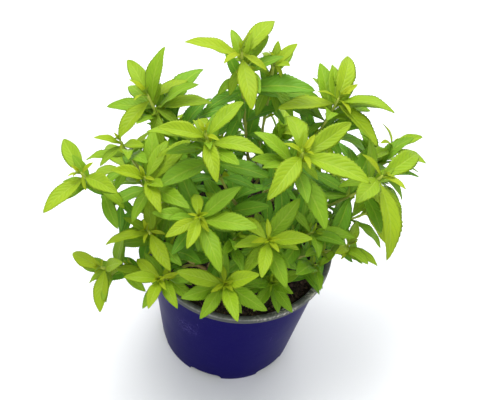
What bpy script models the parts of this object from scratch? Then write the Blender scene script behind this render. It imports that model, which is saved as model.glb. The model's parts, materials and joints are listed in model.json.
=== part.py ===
"""A lemon verbena in its round plastic nursery pot, at real size.

Every constant is in millimetres or degrees unless its name says otherwise, and a mesh takes
them through MM, so the scene is in metres. +Z is up and the pot's axis is at the origin, with
the pot's feet on Z = 0 and the side that the photograph shows at the front, towards -Y.
The herb has leaves in whorls of three. Each leafy shoot ends in a crown of young leaves.
"""

import math
import random
from dataclasses import dataclass, field

import bmesh
import bpy
from mathutils import Matrix, Vector, noise
from mathutils.bvhtree import BVHTree

MM = 0.001
UP = Vector((0, 0, 1))

# Pot
POT_HEIGHT = 106.0
RIM_RADIUS = 65.0
RIM_LEDGE = 4.8
LIP_HEIGHT = 4.0
WALL = 1.7
WALL_TOP_RADIUS = 61.6
FOOT_RADIUS = 48.7
FOOT_RING = 2.3
FLOOR_UNDERSIDE = 5.6
FLOOR_TOP = 7.3
POT_STEPS = 32
NOTCH_COUNT = 6
NOTCH_WIDTH = 24.0
NOTCH_HEIGHT = 5.0
NOTCH_FIRST_ANGLE = -12.0
DRAIN_RADIUS = 4.5
DRAIN_CIRCLE = 36.0

# Soil
FIT = 0.3
SOIL_LEVEL = 98.0
SOIL_BUMP = 1.6
SOIL_RINGS = (0.0, 12.0, 24.0, 36.0, 48.0)
SOIL_STEPS = 20

# Plant
WOOD_DEPTH = 14.0
WOOD_FOOT_RADIUS = 2.3
WOOD_TOP_RADIUS = 1.5
STEM_SEAT_RADIUS = 1.05
STEM_TIP_RADIUS = 0.7
BUD_LENGTH = 2.6
BUD_RADIUS = 0.35
STEM_POINTS = 5
CLEARANCE = 0.35
WOOD_CROOK = 0.12
SEAT_SHIFTS = (0, 0.12, -0.12, 0.25, -0.25)
SEAT_SWINGS = (0, 12, -12, 24, -24, 36, -36, 60, -60, 90, -90)
LOWEST_SEAT = 0.2
HIGHEST_SEAT = 0.97
LEADER_SWING = 0.01

# Leaves
ROOT_HALF_WIDTH = 0.3
BLADE_HALF_THICK = 0.42
SMALL_HALF_THICK = 0.32
LEAF_WIDTH = 0.33
SMALL_LEAF_WIDTH = 0.26
SHORTEST_WHORL_LEAF = 42
SHORTEST_LOWER_LEAF = 24
WHORL_SHARE = 0.98
STRETCHES = (1.0, 1.06, 1.13, 1.22)
TURNS = (6, -6, 12, -12, 18, -18)
SHORTENINGS = (0.9, 0.8, 0.7, 0.6)
RULED_SCALES = (1.0, 0.85, 0.7)
RULED_SWINGS = ((0, 0), (0, 10), (0, -10), (14, 0), (-14, 0), (14, 12), (-14, 12))
FIRST_WHORL_DOWN = 14
WHORL_STEP = 17
WHORL_SPREAD = 72
CROWN_SPREAD = 62

# A blade's sections: share of its length, then the reach of its two sides, whose waves make the teeth.
LEAF_SECTIONS = (
    (0.0, 0.0, 0.0),
    (0.24, 1.0, 1.04),
    (0.46, 1.04, 0.96),
    (0.67, 0.94, 1.06),
    (0.86, 1.08, 0.92),
)
OLD_SECTIONS = ((0.0, 0.0, 0.0), (0.28, 1.0, 1.06), (0.56, 1.06, 0.94), (0.83, 0.92, 1.1))
SMALL_SECTIONS = ((0.0, 0.0, 0.0), (0.34, 1.0, 1.0), (0.72, 1.05, 1.05))


@dataclass(frozen=True)
class Sight:
    """The line of sight of the photograph, which turns its pixels into places on the plant."""

    distance: float = 700.0
    elevation: float = 52.69
    pitch: float = 50.42
    yaw: float = 0.52
    roll: float = 8.33
    focal_px: float = 1015.0
    centre_px: tuple[float, float] = (239.5, 200.0)

    def eye(self) -> Vector:
        """Where the eye is."""
        angle = math.radians(self.elevation)
        return Vector((0, -math.cos(angle), math.sin(angle))) * self.distance + UP * POT_HEIGHT

    def axes(self) -> tuple[Vector, Vector, Vector]:
        """The picture's right and up, and the way back to the eye."""
        pitch, yaw, roll = (math.radians(a) for a in (self.pitch, self.yaw, self.roll))
        back = Vector((math.sin(yaw) * math.cos(pitch), -math.cos(yaw) * math.cos(pitch), math.sin(pitch)))
        level = Vector((math.cos(yaw), math.sin(yaw), 0))
        above = back.cross(level)
        right = level * math.cos(roll) + above * math.sin(roll)
        return right, back.cross(right), back

    def pixel(self, point: Vector) -> tuple[float, float]:
        """The pixel at which a point shows."""
        right, above, back = self.axes()
        way = point - self.eye()
        depth = -way.dot(back)
        x = self.centre_px[0] + self.focal_px * way.dot(right) / depth
        return x, self.centre_px[1] - self.focal_px * way.dot(above) / depth

    def ray(self, pixel: tuple[float, float]) -> Vector:
        """The direction from the eye through a pixel."""
        right, above, back = self.axes()
        x = (pixel[0] - self.centre_px[0]) / self.focal_px
        y = (self.centre_px[1] - pixel[1]) / self.focal_px
        return (right * x + above * y - back).normalized()

    def at_height(self, pixel: tuple[float, float], height: float) -> Vector:
        """The point at this height that shows at a pixel."""
        eye, ray = self.eye(), self.ray(pixel)
        return eye + ray * ((height - eye.z) / ray.z)

    def tips(self, pixel: tuple[float, float], root: Vector, length: float) -> list[Vector]:
        """The points that show at a pixel and lie this far from root, or the nearest there is."""
        eye, ray = self.eye(), self.ray(pixel)
        nearest = eye + ray * (root - eye).dot(ray)
        miss = (nearest - root).length
        if miss >= length:
            return [nearest]
        half = math.sqrt(length * length - miss * miss)
        return [nearest + ray * half, nearest - ray * half]

    def miss(self, pixel: tuple[float, float], root: Vector) -> float:
        """How far from root the sight line through a pixel passes."""
        eye, ray = self.eye(), self.ray(pixel)
        return (eye + ray * (root - eye).dot(ray) - root).length


@dataclass(frozen=True)
class Wood:
    """A brown woody stem: where it comes out of the soil and where it ends."""

    name: str
    foot: tuple[float, float]
    top: tuple[float, float, float]

    def point(self, share: float) -> Vector:
        """A point of its axis, from 0 at the soil to 1 at its top, with a slight crook."""
        foot, top = Vector((*self.foot, SOIL_LEVEL)), Vector(self.top)
        crook = (top - foot).cross(UP) * WOOD_CROOK * math.sin(math.pi * share)
        return foot.lerp(top, share) + crook

    def radius(self, share: float) -> float:
        """Its radius at a share of its height."""
        return WOOD_FOOT_RADIUS + (WOOD_TOP_RADIUS - WOOD_FOOT_RADIUS) * max(share, 0)


@dataclass(frozen=True)
class Crown:
    """A leafy shoot, read from the photograph.

    pixel is its crown's centre, and height is the crown's height over the rim. whorl and inner
    are the tips of its large and small leaves, and lower holds (share along the stem, leaf tip).
    """

    name: str
    wood: int
    pixel: tuple[float, float]
    height: float
    whorl: tuple = ()
    inner: tuple = ()
    lower: tuple = ()
    ruled: int = 2


CENTRE, LEFT, RIGHT, BACK, FRONT = range(5)
WOODS = (
    Wood("centre", (3, 3), (6, 2, 136)),
    Wood("left", (-15, -6), (-24, -11, 130)),
    Wood("right", (27, -20), (35, -25, 120)),
    Wood("back", (3, 25), (0, 37, 134)),
    Wood("front", (-13, -27), (-17, -37, 122)),
)
CROWNS = (
    Crown(
        "top", BACK, (242, 54), 128,
        whorl=((185, 39), (275, 16), (252, 108)),
        inner=((267, 69), (224, 61), (252, 30)),
        lower=((0.9, (232, 29)), (0.7, (315, 87)), (0.68, (203, 113)), (0.42, (279, 106))),
        ruled=1,
    ),
    Crown(
        "top_right", BACK, (274, 63), 116,
        whorl=((298, 42), (262, 50), (290, 64)),
        inner=((283, 77),),
        ruled=1,
    ),
    Crown(
        "upper_left", CENTRE, (148, 96), 100,
        whorl=((127, 56), (188, 78), (118, 137)),
        inner=((128, 77), (159, 78), (133, 98)),
        lower=((0.93, (163, 48)), (0.91, (107, 105)), (0.8, (203, 66)), (0.86, (136, 121))),
        ruled=1,
    ),
    Crown(
        "left", LEFT, (121, 142), 82,
        whorl=((93, 136), (99, 165), (143, 144)),
        inner=((121, 152), (119, 131)),
        lower=((0.7, (150, 172)),),
    ),
    Crown(
        "far_left", LEFT, (82, 174), 86,
        whorl=((62, 137), (42, 211), (116, 190)),
        inner=((66, 175), (92, 161), (85, 190)),
        lower=((0.78, (118, 229)), (0.72, (131, 209))),
        ruled=1,
    ),
    Crown(
        "mid_left", LEFT, (145, 178), 84,
        whorl=((111, 169), (167, 139), (160, 210)),
        inner=((138, 164), (135, 181), (154, 179)),
        lower=((0.85, (132, 221)),),
        ruled=1,
    ),
    Crown(
        "upper_mid", CENTRE, (206, 135), 114,
        whorl=((158, 126), (243, 100), (217, 181)),
        inner=((198, 117), (192, 140), (219, 139)),
        lower=((0.72, (158, 186)), (0.7, (270, 176))),
        ruled=1,
    ),
    Crown(
        "upper_right", CENTRE, (303, 154), 106,
        whorl=((289, 110), (371, 182), (270, 196)),
        inner=((285, 142), (311, 168), (316, 133)),
        lower=((0.93, (351, 122)), (0.78, (327, 229)), (0.8, (250, 160)), (0.55, (279, 233))),
        ruled=1,
    ),
    Crown(
        "right_top", CENTRE, (338, 100), 100,
        whorl=((351, 52), (396, 107), (378, 145), (278, 107)),
        inner=((319, 89), (359, 82), (352, 112)),
        lower=((0.94, (333, 63)), (0.88, (320, 62)), (0.86, (372, 119))),
        ruled=1,
    ),
    Crown(
        "far_right", CENTRE, (381, 177), 76,
        whorl=((422, 150), (393, 258), (357, 201)),
        inner=((364, 153), (408, 188)),
        lower=((0.93, (401, 229)), (0.73, (329, 247)), (0.72, (352, 147))),
        ruled=1,
    ),
    Crown(
        "right", RIGHT, (392, 146), 47,
        whorl=((424, 134), (427, 161), (370, 158)),
        inner=((384, 121), (382, 141)),
    ),
    Crown(
        "right_low", RIGHT, (348, 245), 40,
        whorl=((378, 265), (358, 220), (338, 252)),
        inner=((361, 239), (343, 259)),
    ),
    Crown(
        "right_mid", CENTRE, (312, 233), 48,
        whorl=((287, 205), (320, 255)),
        inner=((318, 222), (322, 234)),
    ),
    Crown(
        "middle", CENTRE, (268, 240), 66,
        whorl=((238, 216), (313, 238), (262, 277)),
        inner=((268, 218), (252, 242), (280, 252)),
        lower=((0.8, (256, 211)), (0.75, (290, 268))),
    ),
    Crown(
        "front", FRONT, (225, 284), 42,
        whorl=((177, 271), (260, 274), (238, 320)),
        inner=((223, 265), (211, 292), (233, 291)),
        lower=((0.82, (200, 318)), (0.84, (242, 312))),
        ruled=1,
    ),
    Crown(
        "front_left", FRONT, (160, 278), 38,
        whorl=((136, 258), (124, 276), (148, 308)),
        inner=((178, 273), (165, 290)),
        lower=((0.85, (176, 306)), (0.8, (195, 300))),
        ruled=1,
    ),
    Crown(
        "left_mid", FRONT, (149, 232), 52,
        whorl=((105, 243), (169, 200), (170, 270)),
        inner=((142, 218), (143, 242), (165, 233)),
    ),
    Crown(
        "inner_left", LEFT, (199, 216), 84,
        whorl=((196, 192), (187, 248), (165, 236)),
        inner=((188, 213), (206, 222)),
        lower=((0.8, (170, 202)),),
    ),
    Crown(
        "low_left", LEFT, (103, 268), 26,
        whorl=((71, 253), (99, 312), (121, 262)),
        inner=((101, 259), (92, 276)),
        lower=((0.9, (105, 300)),),
        ruled=1,
    ),
    Crown(
        "front_right", RIGHT, (272, 283), 20,
        whorl=((245, 285), (300, 272), (292, 312)),
        inner=((270, 292),),
        lower=((0.7, (254, 310)), (0.85, (292, 292))),
        ruled=0,
    ),
    Crown(
        "right_rim", RIGHT, (315, 265), 26,
        whorl=((330, 259), (318, 275), (303, 262)),
        lower=((0.75, (321, 288)),),
        ruled=1,
    ),
    Crown(
        "inner_front", FRONT, (235, 239), 56,
        whorl=((228, 213), (222, 255), (262, 247)),
        lower=((0.8, (242, 271)),),
        ruled=1,
    ),
    Crown(
        "inner_middle", CENTRE, (224, 207), 66,
        whorl=((234, 192), (205, 192), (228, 221)),
    ),
)

# The shoots on the side away from the photograph follow this rule.
HIDDEN_WOODS = (CENTRE, BACK, BACK, BACK, LEFT, LEFT)
HIDDEN_ANGLES = (10, 42, 76, 110, 142, 168)
HIDDEN_REACH = (84, 73, 67, 69, 76, 82)
HIDDEN_HEIGHTS = (34, 26, 44, 34, 28, 38)
SEED = 20

# The plant's outline in the photograph, which the leaves placed by rule stay inside.
OUTLINE = (
    (44, 211), (62, 139), (84, 160), (95, 137), (104, 102), (127, 57), (163, 50), (203, 67),
    (215, 82), (232, 30), (275, 17), (298, 43), (290, 78), (313, 64), (351, 53), (396, 107),
    (424, 134), (427, 161), (408, 188), (393, 257), (362, 225), (378, 265), (345, 262), (329, 290),
    (292, 311), (238, 319), (176, 306), (148, 308), (100, 312), (72, 253), (104, 243), (100, 200),
)

# Where the photograph shows through the plant, as (pixel, radius): the same leaves stay out of these.
OPENINGS = (
    ((82, 200), 9), ((98, 214), 12), ((104, 232), 11), ((106, 252), 10), ((116, 297), 11), ((132, 298), 9),
    ((122, 282), 6), ((300, 70), 14), ((287, 70), 9), ((312, 68), 8), ((208, 84), 9), ((212, 63), 9),
    ((134, 130), 11), ((110, 121), 10), ((96, 148), 9), ((112, 163), 9), ((96, 168), 8), ((132, 190), 10),
    ((364, 225), 10), ((368, 246), 10), ((357, 210), 7), ((336, 268), 9), ((268, 124), 8), ((190, 110), 6),
    ((136, 252), 8), ((326, 170), 6), ((378, 132), 6), ((396, 128), 7), ((64, 168), 7), ((372, 170), 5),
)


def bezier(a: Vector, b: Vector, c: Vector, d: Vector, t: float) -> Vector:
    """A point of a cubic curve through a and d."""
    s = 1 - t
    return a * s**3 + b * 3 * s * s * t + c * 3 * s * t * t + d * t**3


@dataclass
class Leaf:
    """One leaf: a blade folded along its midrib and arched over, with teeth on its outer half."""

    root: Vector
    tip: Vector
    upper: Vector
    width: float
    bow: float = 0.07
    fold: float = 0.3
    small: bool = False
    young: bool = True

    def frame(self) -> tuple[Vector, Vector, Vector]:
        """The blade's length, its side and the way its upper face looks."""
        chord = self.tip - self.root
        side = chord.cross(self.upper).normalized()
        return chord, side, side.cross(chord).normalized()

    def solid(self, spare: float = 0.0) -> tuple[list[Vector], list[tuple[int, ...]]]:
        """Its closed mesh, as points and triangles, with spare added all round."""
        sections = SMALL_SECTIONS if self.small else LEAF_SECTIONS if self.young else OLD_SECTIONS
        chord, side, face = self.frame()
        length = chord.length
        half_thick = SMALL_HALF_THICK if self.small else BLADE_HALF_THICK
        points = []
        for share, left, right in sections:
            thick = (half_thick if share else ROOT_HALF_WIDTH) + spare
            rib = self.root + chord * share + face * (self.bow * length * 4 * share * (1 - share))
            half = self.width / 2 * leaf_outline(share)
            reach = [max(half * wave, ROOT_HALF_WIDTH) + spare for wave in (left, right)]
            points += [
                rib + side * reach[0] + face * (reach[0] * self.fold),
                rib + face * thick,
                rib - side * reach[1] + face * (reach[1] * self.fold),
                rib - face * thick,
            ]
        faces = [(0, 1, 2), (0, 2, 3)]
        for i in range(len(sections) - 1):
            a, b = 4 * i, 4 * i + 4
            for j in range(2):
                k = j + 1
                faces += [(a + j, b + j, b + k), (a + j, b + k, a + k)]
            faces += [(a + 2, b + 2, b + 3), (a + 2, b + 3, a + 3)]
            faces += [(a + 3, b + 3, b), (a + 3, b, a)]
        last = 4 * len(sections) - 4
        points.append(self.tip + chord.normalized() * spare)
        faces += [(last + j, last + 4, last + (j + 1) % 4) for j in range(4)]
        return points, faces


def leaf_outline(share: float) -> float:
    """The blade's half width along its length, from 0 at both ends to 1."""
    return math.sin(math.pi * share**1.05) ** (1.15 - 0.4 * share)


def tube_mesh(path: list[Vector], radii: list[float], sides: int = 6) -> tuple[list, list]:
    """A plain tube round a path, as points and quads, used only to test for room."""
    points, faces = [], []
    for i, centre in enumerate(path):
        ahead = (path[min(i + 1, len(path) - 1)] - path[max(i - 1, 0)]).normalized()
        across = ahead.orthogonal().normalized()
        for j in range(sides):
            turned = Matrix.Rotation(2 * math.pi * j / sides, 3, ahead) @ across
            points.append(centre + turned * radii[i])
    for i in range(len(path) - 1):
        for j in range(sides):
            a, b = i * sides + j, i * sides + (j + 1) % sides
            faces.append((a, b, b + sides, a + sides))
    return points, faces


@dataclass
class Piece:
    """A solid that others keep clear of."""

    owner: str
    points: list
    faces: list
    blade_faces: list
    low: Vector = field(init=False)
    high: Vector = field(init=False)

    def __post_init__(self) -> None:
        self.low = Vector([min(p[i] for p in self.points) for i in range(3)])
        self.high = Vector([max(p[i] for p in self.points) for i in range(3)])
        self.whole = BVHTree.FromPolygons(self.points, self.faces)
        self.blade = BVHTree.FromPolygons(self.points, self.blade_faces) if self.blade_faces else None

    def near(self, other: "Piece") -> bool:
        """Whether the two boxes meet."""
        return all(self.low[i] <= other.high[i] and other.low[i] <= self.high[i] for i in range(3))

    def hits(self, other: "Piece") -> bool:
        """Whether this solid crosses another, leaving out the roots of leaves of one shoot."""
        if not self.near(other):
            return False
        if self.owner != other.owner:
            return bool(self.whole.overlap(other.whole))
        return bool(self.blade and other.blade and self.blade.overlap(other.blade))


def leaf_piece(owner: str, leaf: Leaf, spare: float) -> Piece:
    """A leaf as a solid. Its blade starts beyond its root's first section."""
    points, faces = leaf.solid(spare)
    return Piece(owner, points, faces, [f for f in faces if min(f) >= 4])


@dataclass
class Shoot:
    """A leafy shoot: its stem's path from its seat to its crown, and its leaves."""

    name: str
    path: list[Vector]
    leaves: list[Leaf] = field(default_factory=list)

    def at(self, share: float) -> Vector:
        """A point of the stem, from 0 at the seat to 1 at the crown."""
        place = share * (len(self.path) - 1)
        i = min(int(place), len(self.path) - 2)
        return self.path[i].lerp(self.path[i + 1], place - i)

    def root(self, share: float | None) -> Vector:
        """Where a leaf starts: on the stem's axis, or in the bud where no share is given."""
        return self.path[-1] + self.heading(1) * BUD_LENGTH * 0.5 if share is None else self.at(share)

    def heading(self, share: float) -> Vector:
        """The way the stem grows there."""
        return (self.at(min(share + 0.1, 1)) - self.at(max(share - 0.1, 0))).normalized()

    def length(self) -> float:
        """The stem's length."""
        return sum((b - a).length for a, b in zip(self.path, self.path[1:]))

    def radii(self) -> list[float]:
        """The stem's radius at each point of its path."""
        steps = len(self.path) - 1
        taper = STEM_TIP_RADIUS - STEM_SEAT_RADIUS
        return [STEM_SEAT_RADIUS + taper * i / steps for i in range(steps + 1)]

    def stem_with_bud(self) -> tuple[list[Vector], list[float]]:
        """The stem's path and radii, with the pointed bud that ends it."""
        bud = self.path[-1] + self.heading(1) * BUD_LENGTH
        return [*self.path, bud], [*self.radii(), BUD_RADIUS]

    def piece(self, spare: float) -> Piece:
        """The stem as a solid to keep clear of."""
        path, radii = self.stem_with_bud()
        points, faces = tube_mesh(path, [r + spare for r in radii])
        return Piece(self.name, points, faces, faces)


class Planting:
    """Places the shoots and their leaves, each where it was measured or by rule, with room round it."""

    def __init__(self) -> None:
        self.sight = Sight()
        self.rng = random.Random(SEED)
        self.placed: list[Piece] = []
        self.shoots: list[Shoot] = []
        self.add_woods_and_pot()

    def add_woods_and_pot(self) -> None:
        """What the leaves have to keep clear of."""
        for wood in WOODS:
            path = [wood.point(i / 4) for i in range(5)]
            radii = [wood.radius(i / 4) for i in range(5)]
            points, faces = tube_mesh(path, radii, 8)
            self.placed.append(Piece("wood_" + wood.name, points, faces, []))
        inner = RIM_RADIUS - RIM_LEDGE
        ground = SOIL_LEVEL + SOIL_BUMP
        self.placed.append(self.shell("soil", ((0.0, ground), (inner - 1, ground))))
        wall = ((inner, POT_HEIGHT - 8), (inner, POT_HEIGHT), (RIM_RADIUS, POT_HEIGHT), (FOOT_RADIUS, 0.0))
        self.placed.append(self.shell("pot", wall))

    def shell(self, owner: str, profile: tuple) -> Piece:
        """A surface turned from (radius, height) points."""
        steps = 24
        points = [Vector((r * math.cos(a), r * math.sin(a), z)) for r, z in profile for a in turn(steps)]
        faces = []
        for start in range(0, (len(profile) - 1) * steps, steps):
            for i in range(steps):
                j = (i + 1) % steps
                faces.append((start + i, start + j, start + steps + j, start + steps + i))
        return Piece(owner, points, faces, [])

    def free(self, piece: Piece) -> bool:
        """Whether a solid crosses nothing placed so far."""
        return not any(piece.hits(other) for other in self.placed)

    def add_stem(self, name: str, wood: Wood, crown: Vector, seat: float, leader: bool) -> None:
        """Adds one shoot's stem, with its seat moved round or along the wood until there is room."""
        for shift in SEAT_SHIFTS:
            for swing in SEAT_SWINGS:
                moved = min(max(seat + shift, LOWEST_SEAT), HIGHEST_SEAT)
                shoot = Shoot(name, self.stem_path(wood, crown, moved, swing, leader))
                if self.free(shoot.piece(CLEARANCE)):
                    self.placed.append(shoot.piece(0))
                    self.shoots.append(shoot)
                    return

    def stem_path(self, wood: Wood, crown: Vector, seat: float, swing: float, leader: bool) -> list[Vector]:
        """A stem's smooth path to its crown, from its seat on the wood or, for the leader, the wood's end."""
        outward = (crown - wood.point(1)) * Vector((1, 1, 0))
        if outward.length < 1:
            outward = Vector((0, 1, 0))
        outward.normalize()
        way = crown - wood.point(seat)
        climb = math.atan2(way.z, (way * Vector((1, 1, 0))).length)
        turned = Matrix.Rotation(math.radians(swing), 3, "Z") @ outward
        if leader:
            straight = (wood.point(1) - wood.point(0.9)).normalized()
            start = wood.point(1) + straight * CLEARANCE
            ahead = (straight + turned * LEADER_SWING * swing).normalized()
        else:
            tilt = min(max(climb - 0.15, 0.2), 1.2)
            ahead = turned * math.cos(tilt) + UP * math.sin(tilt)
            start = wood.point(seat) + turned * (
                wood.radius(seat) + CLEARANCE + STEM_SEAT_RADIUS * math.sin(tilt)
            )
        arrive = (outward * math.cos(climb) * 0.8 + UP * (math.sin(climb) + 0.45)).normalized()
        bends = (start, start + ahead * way.length * 0.35, crown - arrive * way.length * 0.3, crown)
        return [bezier(*bends, i / (STEM_POINTS - 1)) for i in range(STEM_POINTS)]

    def add_stems(self) -> None:
        """Adds every stem, each wood's own in the order of their seats, the lowest crown lowest."""
        wanted = [(c.name, c.wood, self.sight.at_height(c.pixel, POT_HEIGHT + c.height)) for c in CROWNS]
        for i, wood in enumerate(HIDDEN_WOODS):
            angle = math.radians(HIDDEN_ANGLES[i])
            place = Vector((math.cos(angle), math.sin(angle), 0)) * HIDDEN_REACH[i]
            wanted.append((f"back_{i + 1}", wood, place + UP * (POT_HEIGHT + HIDDEN_HEIGHTS[i])))
        for index, wood in enumerate(WOODS):
            mine = [w for w in wanted if w[1] == index]
            mine.sort(key=lambda w: steepness(w[2] - wood.point(1)))
            for k, (name, _, crown) in enumerate(mine):
                leader = k == len(mine) - 1
                seat = 0.35 + 0.6 * k / max(len(mine) - 1, 1)
                self.add_stem(name, wood, crown, seat, leader)

    def settle(self, shoot: Shoot, choices: list[Leaf]) -> None:
        """Adds the first of these leaves that has room, if one has."""
        for leaf in choices:
            if self.free(leaf_piece(shoot.name, leaf, CLEARANCE)):
                self.placed.append(leaf_piece(shoot.name, leaf, 0))
                shoot.leaves.append(leaf)
                return

    def measured(
        self, shoot: Shoot, share: float | None, pixel: tuple, length: float, rise: float, small: bool
    ) -> None:
        """Adds a leaf whose tip shows at a pixel, moved only along the line of sight to find room."""
        root = shoot.root(share)
        upper = (shoot.heading(1 if share is None else share) + UP * 0.6).normalized()
        choices = []
        for stretch in STRETCHES:
            tips = self.sight.tips(pixel, root, length * stretch)
            tips.sort(key=lambda tip: abs(tip.z - root.z - rise * length))
            choices += [self.leaf(root, tip, upper, small) for tip in tips]
        nearest = choices[0].tip
        for turn_by in TURNS:
            spun = Matrix.Rotation(math.radians(turn_by), 3, upper) @ (nearest - root)
            choices.append(self.leaf(root, root + spun, upper, small))
        for shorter in SHORTENINGS:
            choices.append(self.leaf(root, root + (nearest - root) * shorter, upper, small))
        self.settle(shoot, choices)

    def leaf(self, root: Vector, tip: Vector, upper: Vector, small: bool, young: bool = True) -> Leaf:
        """A leaf of a natural width for its length."""
        width = (tip - root).length * (SMALL_LEAF_WIDTH if small else LEAF_WIDTH)
        return Leaf(root, tip, upper, width, small=small, young=young)

    def add_crown_leaves(self) -> None:
        """Adds the leaves that the photograph shows, the large whorls first."""
        by_name = {shoot.name: shoot for shoot in self.shoots}
        for kind, share, rise, small in (("whorl", WHORL_SHARE, 0.2, False), ("inner", None, 0.45, True)):
            for crown in CROWNS:
                shoot = by_name.get(crown.name)
                tips = getattr(crown, kind)
                if not shoot or not tips:
                    continue
                root = shoot.root(share)
                length = 1.03 * max(self.sight.miss(tip, root) for tip in tips)
                for tip in tips:
                    own = max(self.sight.miss(tip, root) * 1.03, min(length, SHORTEST_WHORL_LEAF))
                    self.measured(shoot, share, tip, own, rise, small)
        for crown in CROWNS:
            for share, tip in crown.lower:
                shoot = by_name.get(crown.name)
                if shoot:
                    own = max(self.sight.miss(tip, shoot.at(share)) * 1.03, SHORTEST_LOWER_LEAF)
                    self.measured(shoot, share, tip, own, 0.05, False)

    def allowed(self, root: Vector, tip: Vector) -> bool:
        """Whether a leaf keeps to the outline, and out of the openings."""
        shown = self.sight.pixel(tip), self.sight.pixel(root.lerp(tip, 0.6))
        return inside(shown[0], OUTLINE) and not any(
            math.dist(pixel, centre) < radius for pixel in shown for centre, radius in OPENINGS
        )

    def ruled_leaf(self, shoot: Shoot, share: float, angle: float, length: float, open_by: float) -> None:
        """Adds a leaf of a whorl that follows the rule, turned a little if it has no room."""
        root, ahead = shoot.root(share), shoot.heading(share)
        choices = []
        for scale in RULED_SCALES:
            for swing, lift in RULED_SWINGS:
                out = ahead.orthogonal().normalized()
                out = Matrix.Rotation(angle + math.radians(swing), 3, ahead) @ out
                spread = math.radians(open_by - lift)
                along = ahead * math.cos(spread) + out * math.sin(spread)
                tip = root + along * length * scale
                young = share == WHORL_SHARE
                if self.allowed(root, tip):
                    choices.append(self.leaf(root, tip, (ahead + UP * 0.3).normalized(), False, young))
        self.settle(shoot, choices)

    def add_ruled_leaves(self) -> None:
        """Adds the crowns of the hidden shoots, then the older whorls lower on every stem."""
        ruled = {crown.name: crown.ruled for crown in CROWNS}
        for shoot in self.shoots:
            start = self.rng.uniform(0, math.pi)
            if shoot.name in ruled:
                continue
            for i in range(3):
                angle = start + i * 2 * math.pi / 3
                self.ruled_leaf(shoot, WHORL_SHARE, angle, self.rng.uniform(30, 38), CROWN_SPREAD)
        for level in range(2):
            for shoot in self.shoots:
                down = FIRST_WHORL_DOWN + WHORL_STEP * level + self.rng.uniform(-2, 2)
                share = 1 - down / shoot.length()
                start = self.rng.uniform(0, 2 * math.pi / 3)
                lengths = [self.rng.uniform(27, 37) for _ in range(3)]
                if share < 0.22 or level >= ruled.get(shoot.name, 3):
                    continue
                for i, length in enumerate(lengths):
                    angle = start + i * 2 * math.pi / 3
                    self.ruled_leaf(shoot, share, angle, length, WHORL_SPREAD + 6 * level)

    def grow(self) -> list[Shoot]:
        """Places everything."""
        self.add_stems()
        self.add_crown_leaves()
        self.add_ruled_leaves()
        return self.shoots


def turn(steps: int) -> list[float]:
    """Equal angles round a circle."""
    return [2 * math.pi * i / steps for i in range(steps)]


def inside(pixel: tuple[float, float], outline: tuple) -> bool:
    """Whether a pixel lies inside an outline."""
    odd = False
    for (ax, ay), (bx, by) in zip(outline, outline[1:] + outline[:1]):
        if (ay > pixel[1]) != (by > pixel[1]) and pixel[0] < ax + (bx - ax) * (pixel[1] - ay) / (by - ay):
            odd = not odd
    return odd


def steepness(way: Vector) -> float:
    """How steeply a direction climbs."""
    return way.z / max(way.length, 1e-6)


# Materials
def plain_material(name: str, colour: tuple[float, float, float], roughness: float) -> bpy.types.Material:
    """A Principled material of one colour."""
    material = bpy.data.materials.new(name)
    material.use_nodes = True
    shader = material.node_tree.nodes["Principled BSDF"]
    shader.inputs["Base Color"].default_value = (*colour, 1)
    shader.inputs["Roughness"].default_value = roughness
    shader.inputs["Metallic"].default_value = 0
    return material


# Shared steps
def clear_scene() -> None:
    """Removes what the startup scene holds."""
    for thing in list(bpy.data.objects):
        bpy.data.objects.remove(thing, do_unlink=True)


def new_collection(name: str, hidden: bool = False) -> bpy.types.Collection:
    """A collection in the scene."""
    made = bpy.data.collections.new(name)
    made.hide_render = hidden
    bpy.context.scene.collection.children.link(made)
    return made


def add_object(name: str, data, collection, material=None) -> bpy.types.Object:
    """An object of this mesh or curve."""
    made = bpy.data.objects.new(name, data)
    collection.objects.link(made)
    if material:
        data.materials.append(material)
    return made


def finished_mesh(thing: bpy.types.Object) -> bpy.types.Mesh:
    """The evaluated mesh of an object, with a curve's loose caps welded."""
    bpy.context.view_layer.update()
    graph = bpy.context.evaluated_depsgraph_get()
    mesh = bpy.data.meshes.new_from_object(thing.evaluated_get(graph))
    cage = bmesh.new()
    cage.from_mesh(mesh)
    bmesh.ops.remove_doubles(cage, verts=cage.verts, dist=1e-7)
    cage.to_mesh(mesh)
    cage.free()
    return mesh


def smooth(mesh: bpy.types.Mesh, angle: float = 40) -> None:
    """Shades a mesh smooth, apart from its sharp edges."""
    mesh.shade_smooth()
    mesh.set_sharp_from_angle(angle=math.radians(angle))


def tube(
    name: str, path: list[Vector], radii: list[float], resolution: int, collection, material
) -> bpy.types.Object:
    """A tapered tube round a path, as a mesh."""
    curve = bpy.data.curves.new(name, "CURVE")
    curve.dimensions = "3D"
    curve.bevel_depth = MM
    curve.bevel_resolution = resolution
    curve.use_fill_caps = True
    spline = curve.splines.new("POLY")
    spline.points.add(len(path) - 1)
    for point, place, radius in zip(spline.points, path, radii):
        point.co = (*(place * MM), 1)
        point.radius = radius
    guide = add_object(name + "_guide", curve, collection)
    mesh = finished_mesh(guide)
    bpy.data.objects.remove(guide, do_unlink=True)
    return add_object(name, mesh, collection, material)


def turned(name: str, profile: list[tuple], steps: int, collection, material) -> bpy.types.Object:
    """A solid turned from (radius, height) points, which run up the inside and down the outside."""
    mesh = bpy.data.meshes.new(name)
    points = [(radius * MM, 0, height * MM) for radius, height in profile]
    mesh.from_pydata(points, [(i, i + 1) for i in range(len(points) - 1)], [])
    made = add_object(name, mesh, collection, material)
    screw = made.modifiers.new("turn", "SCREW")
    screw.steps = screw.render_steps = steps
    screw.use_merge_vertices = True
    screw.merge_threshold = 1e-5
    screw.use_smooth_shade = True
    return made


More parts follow.
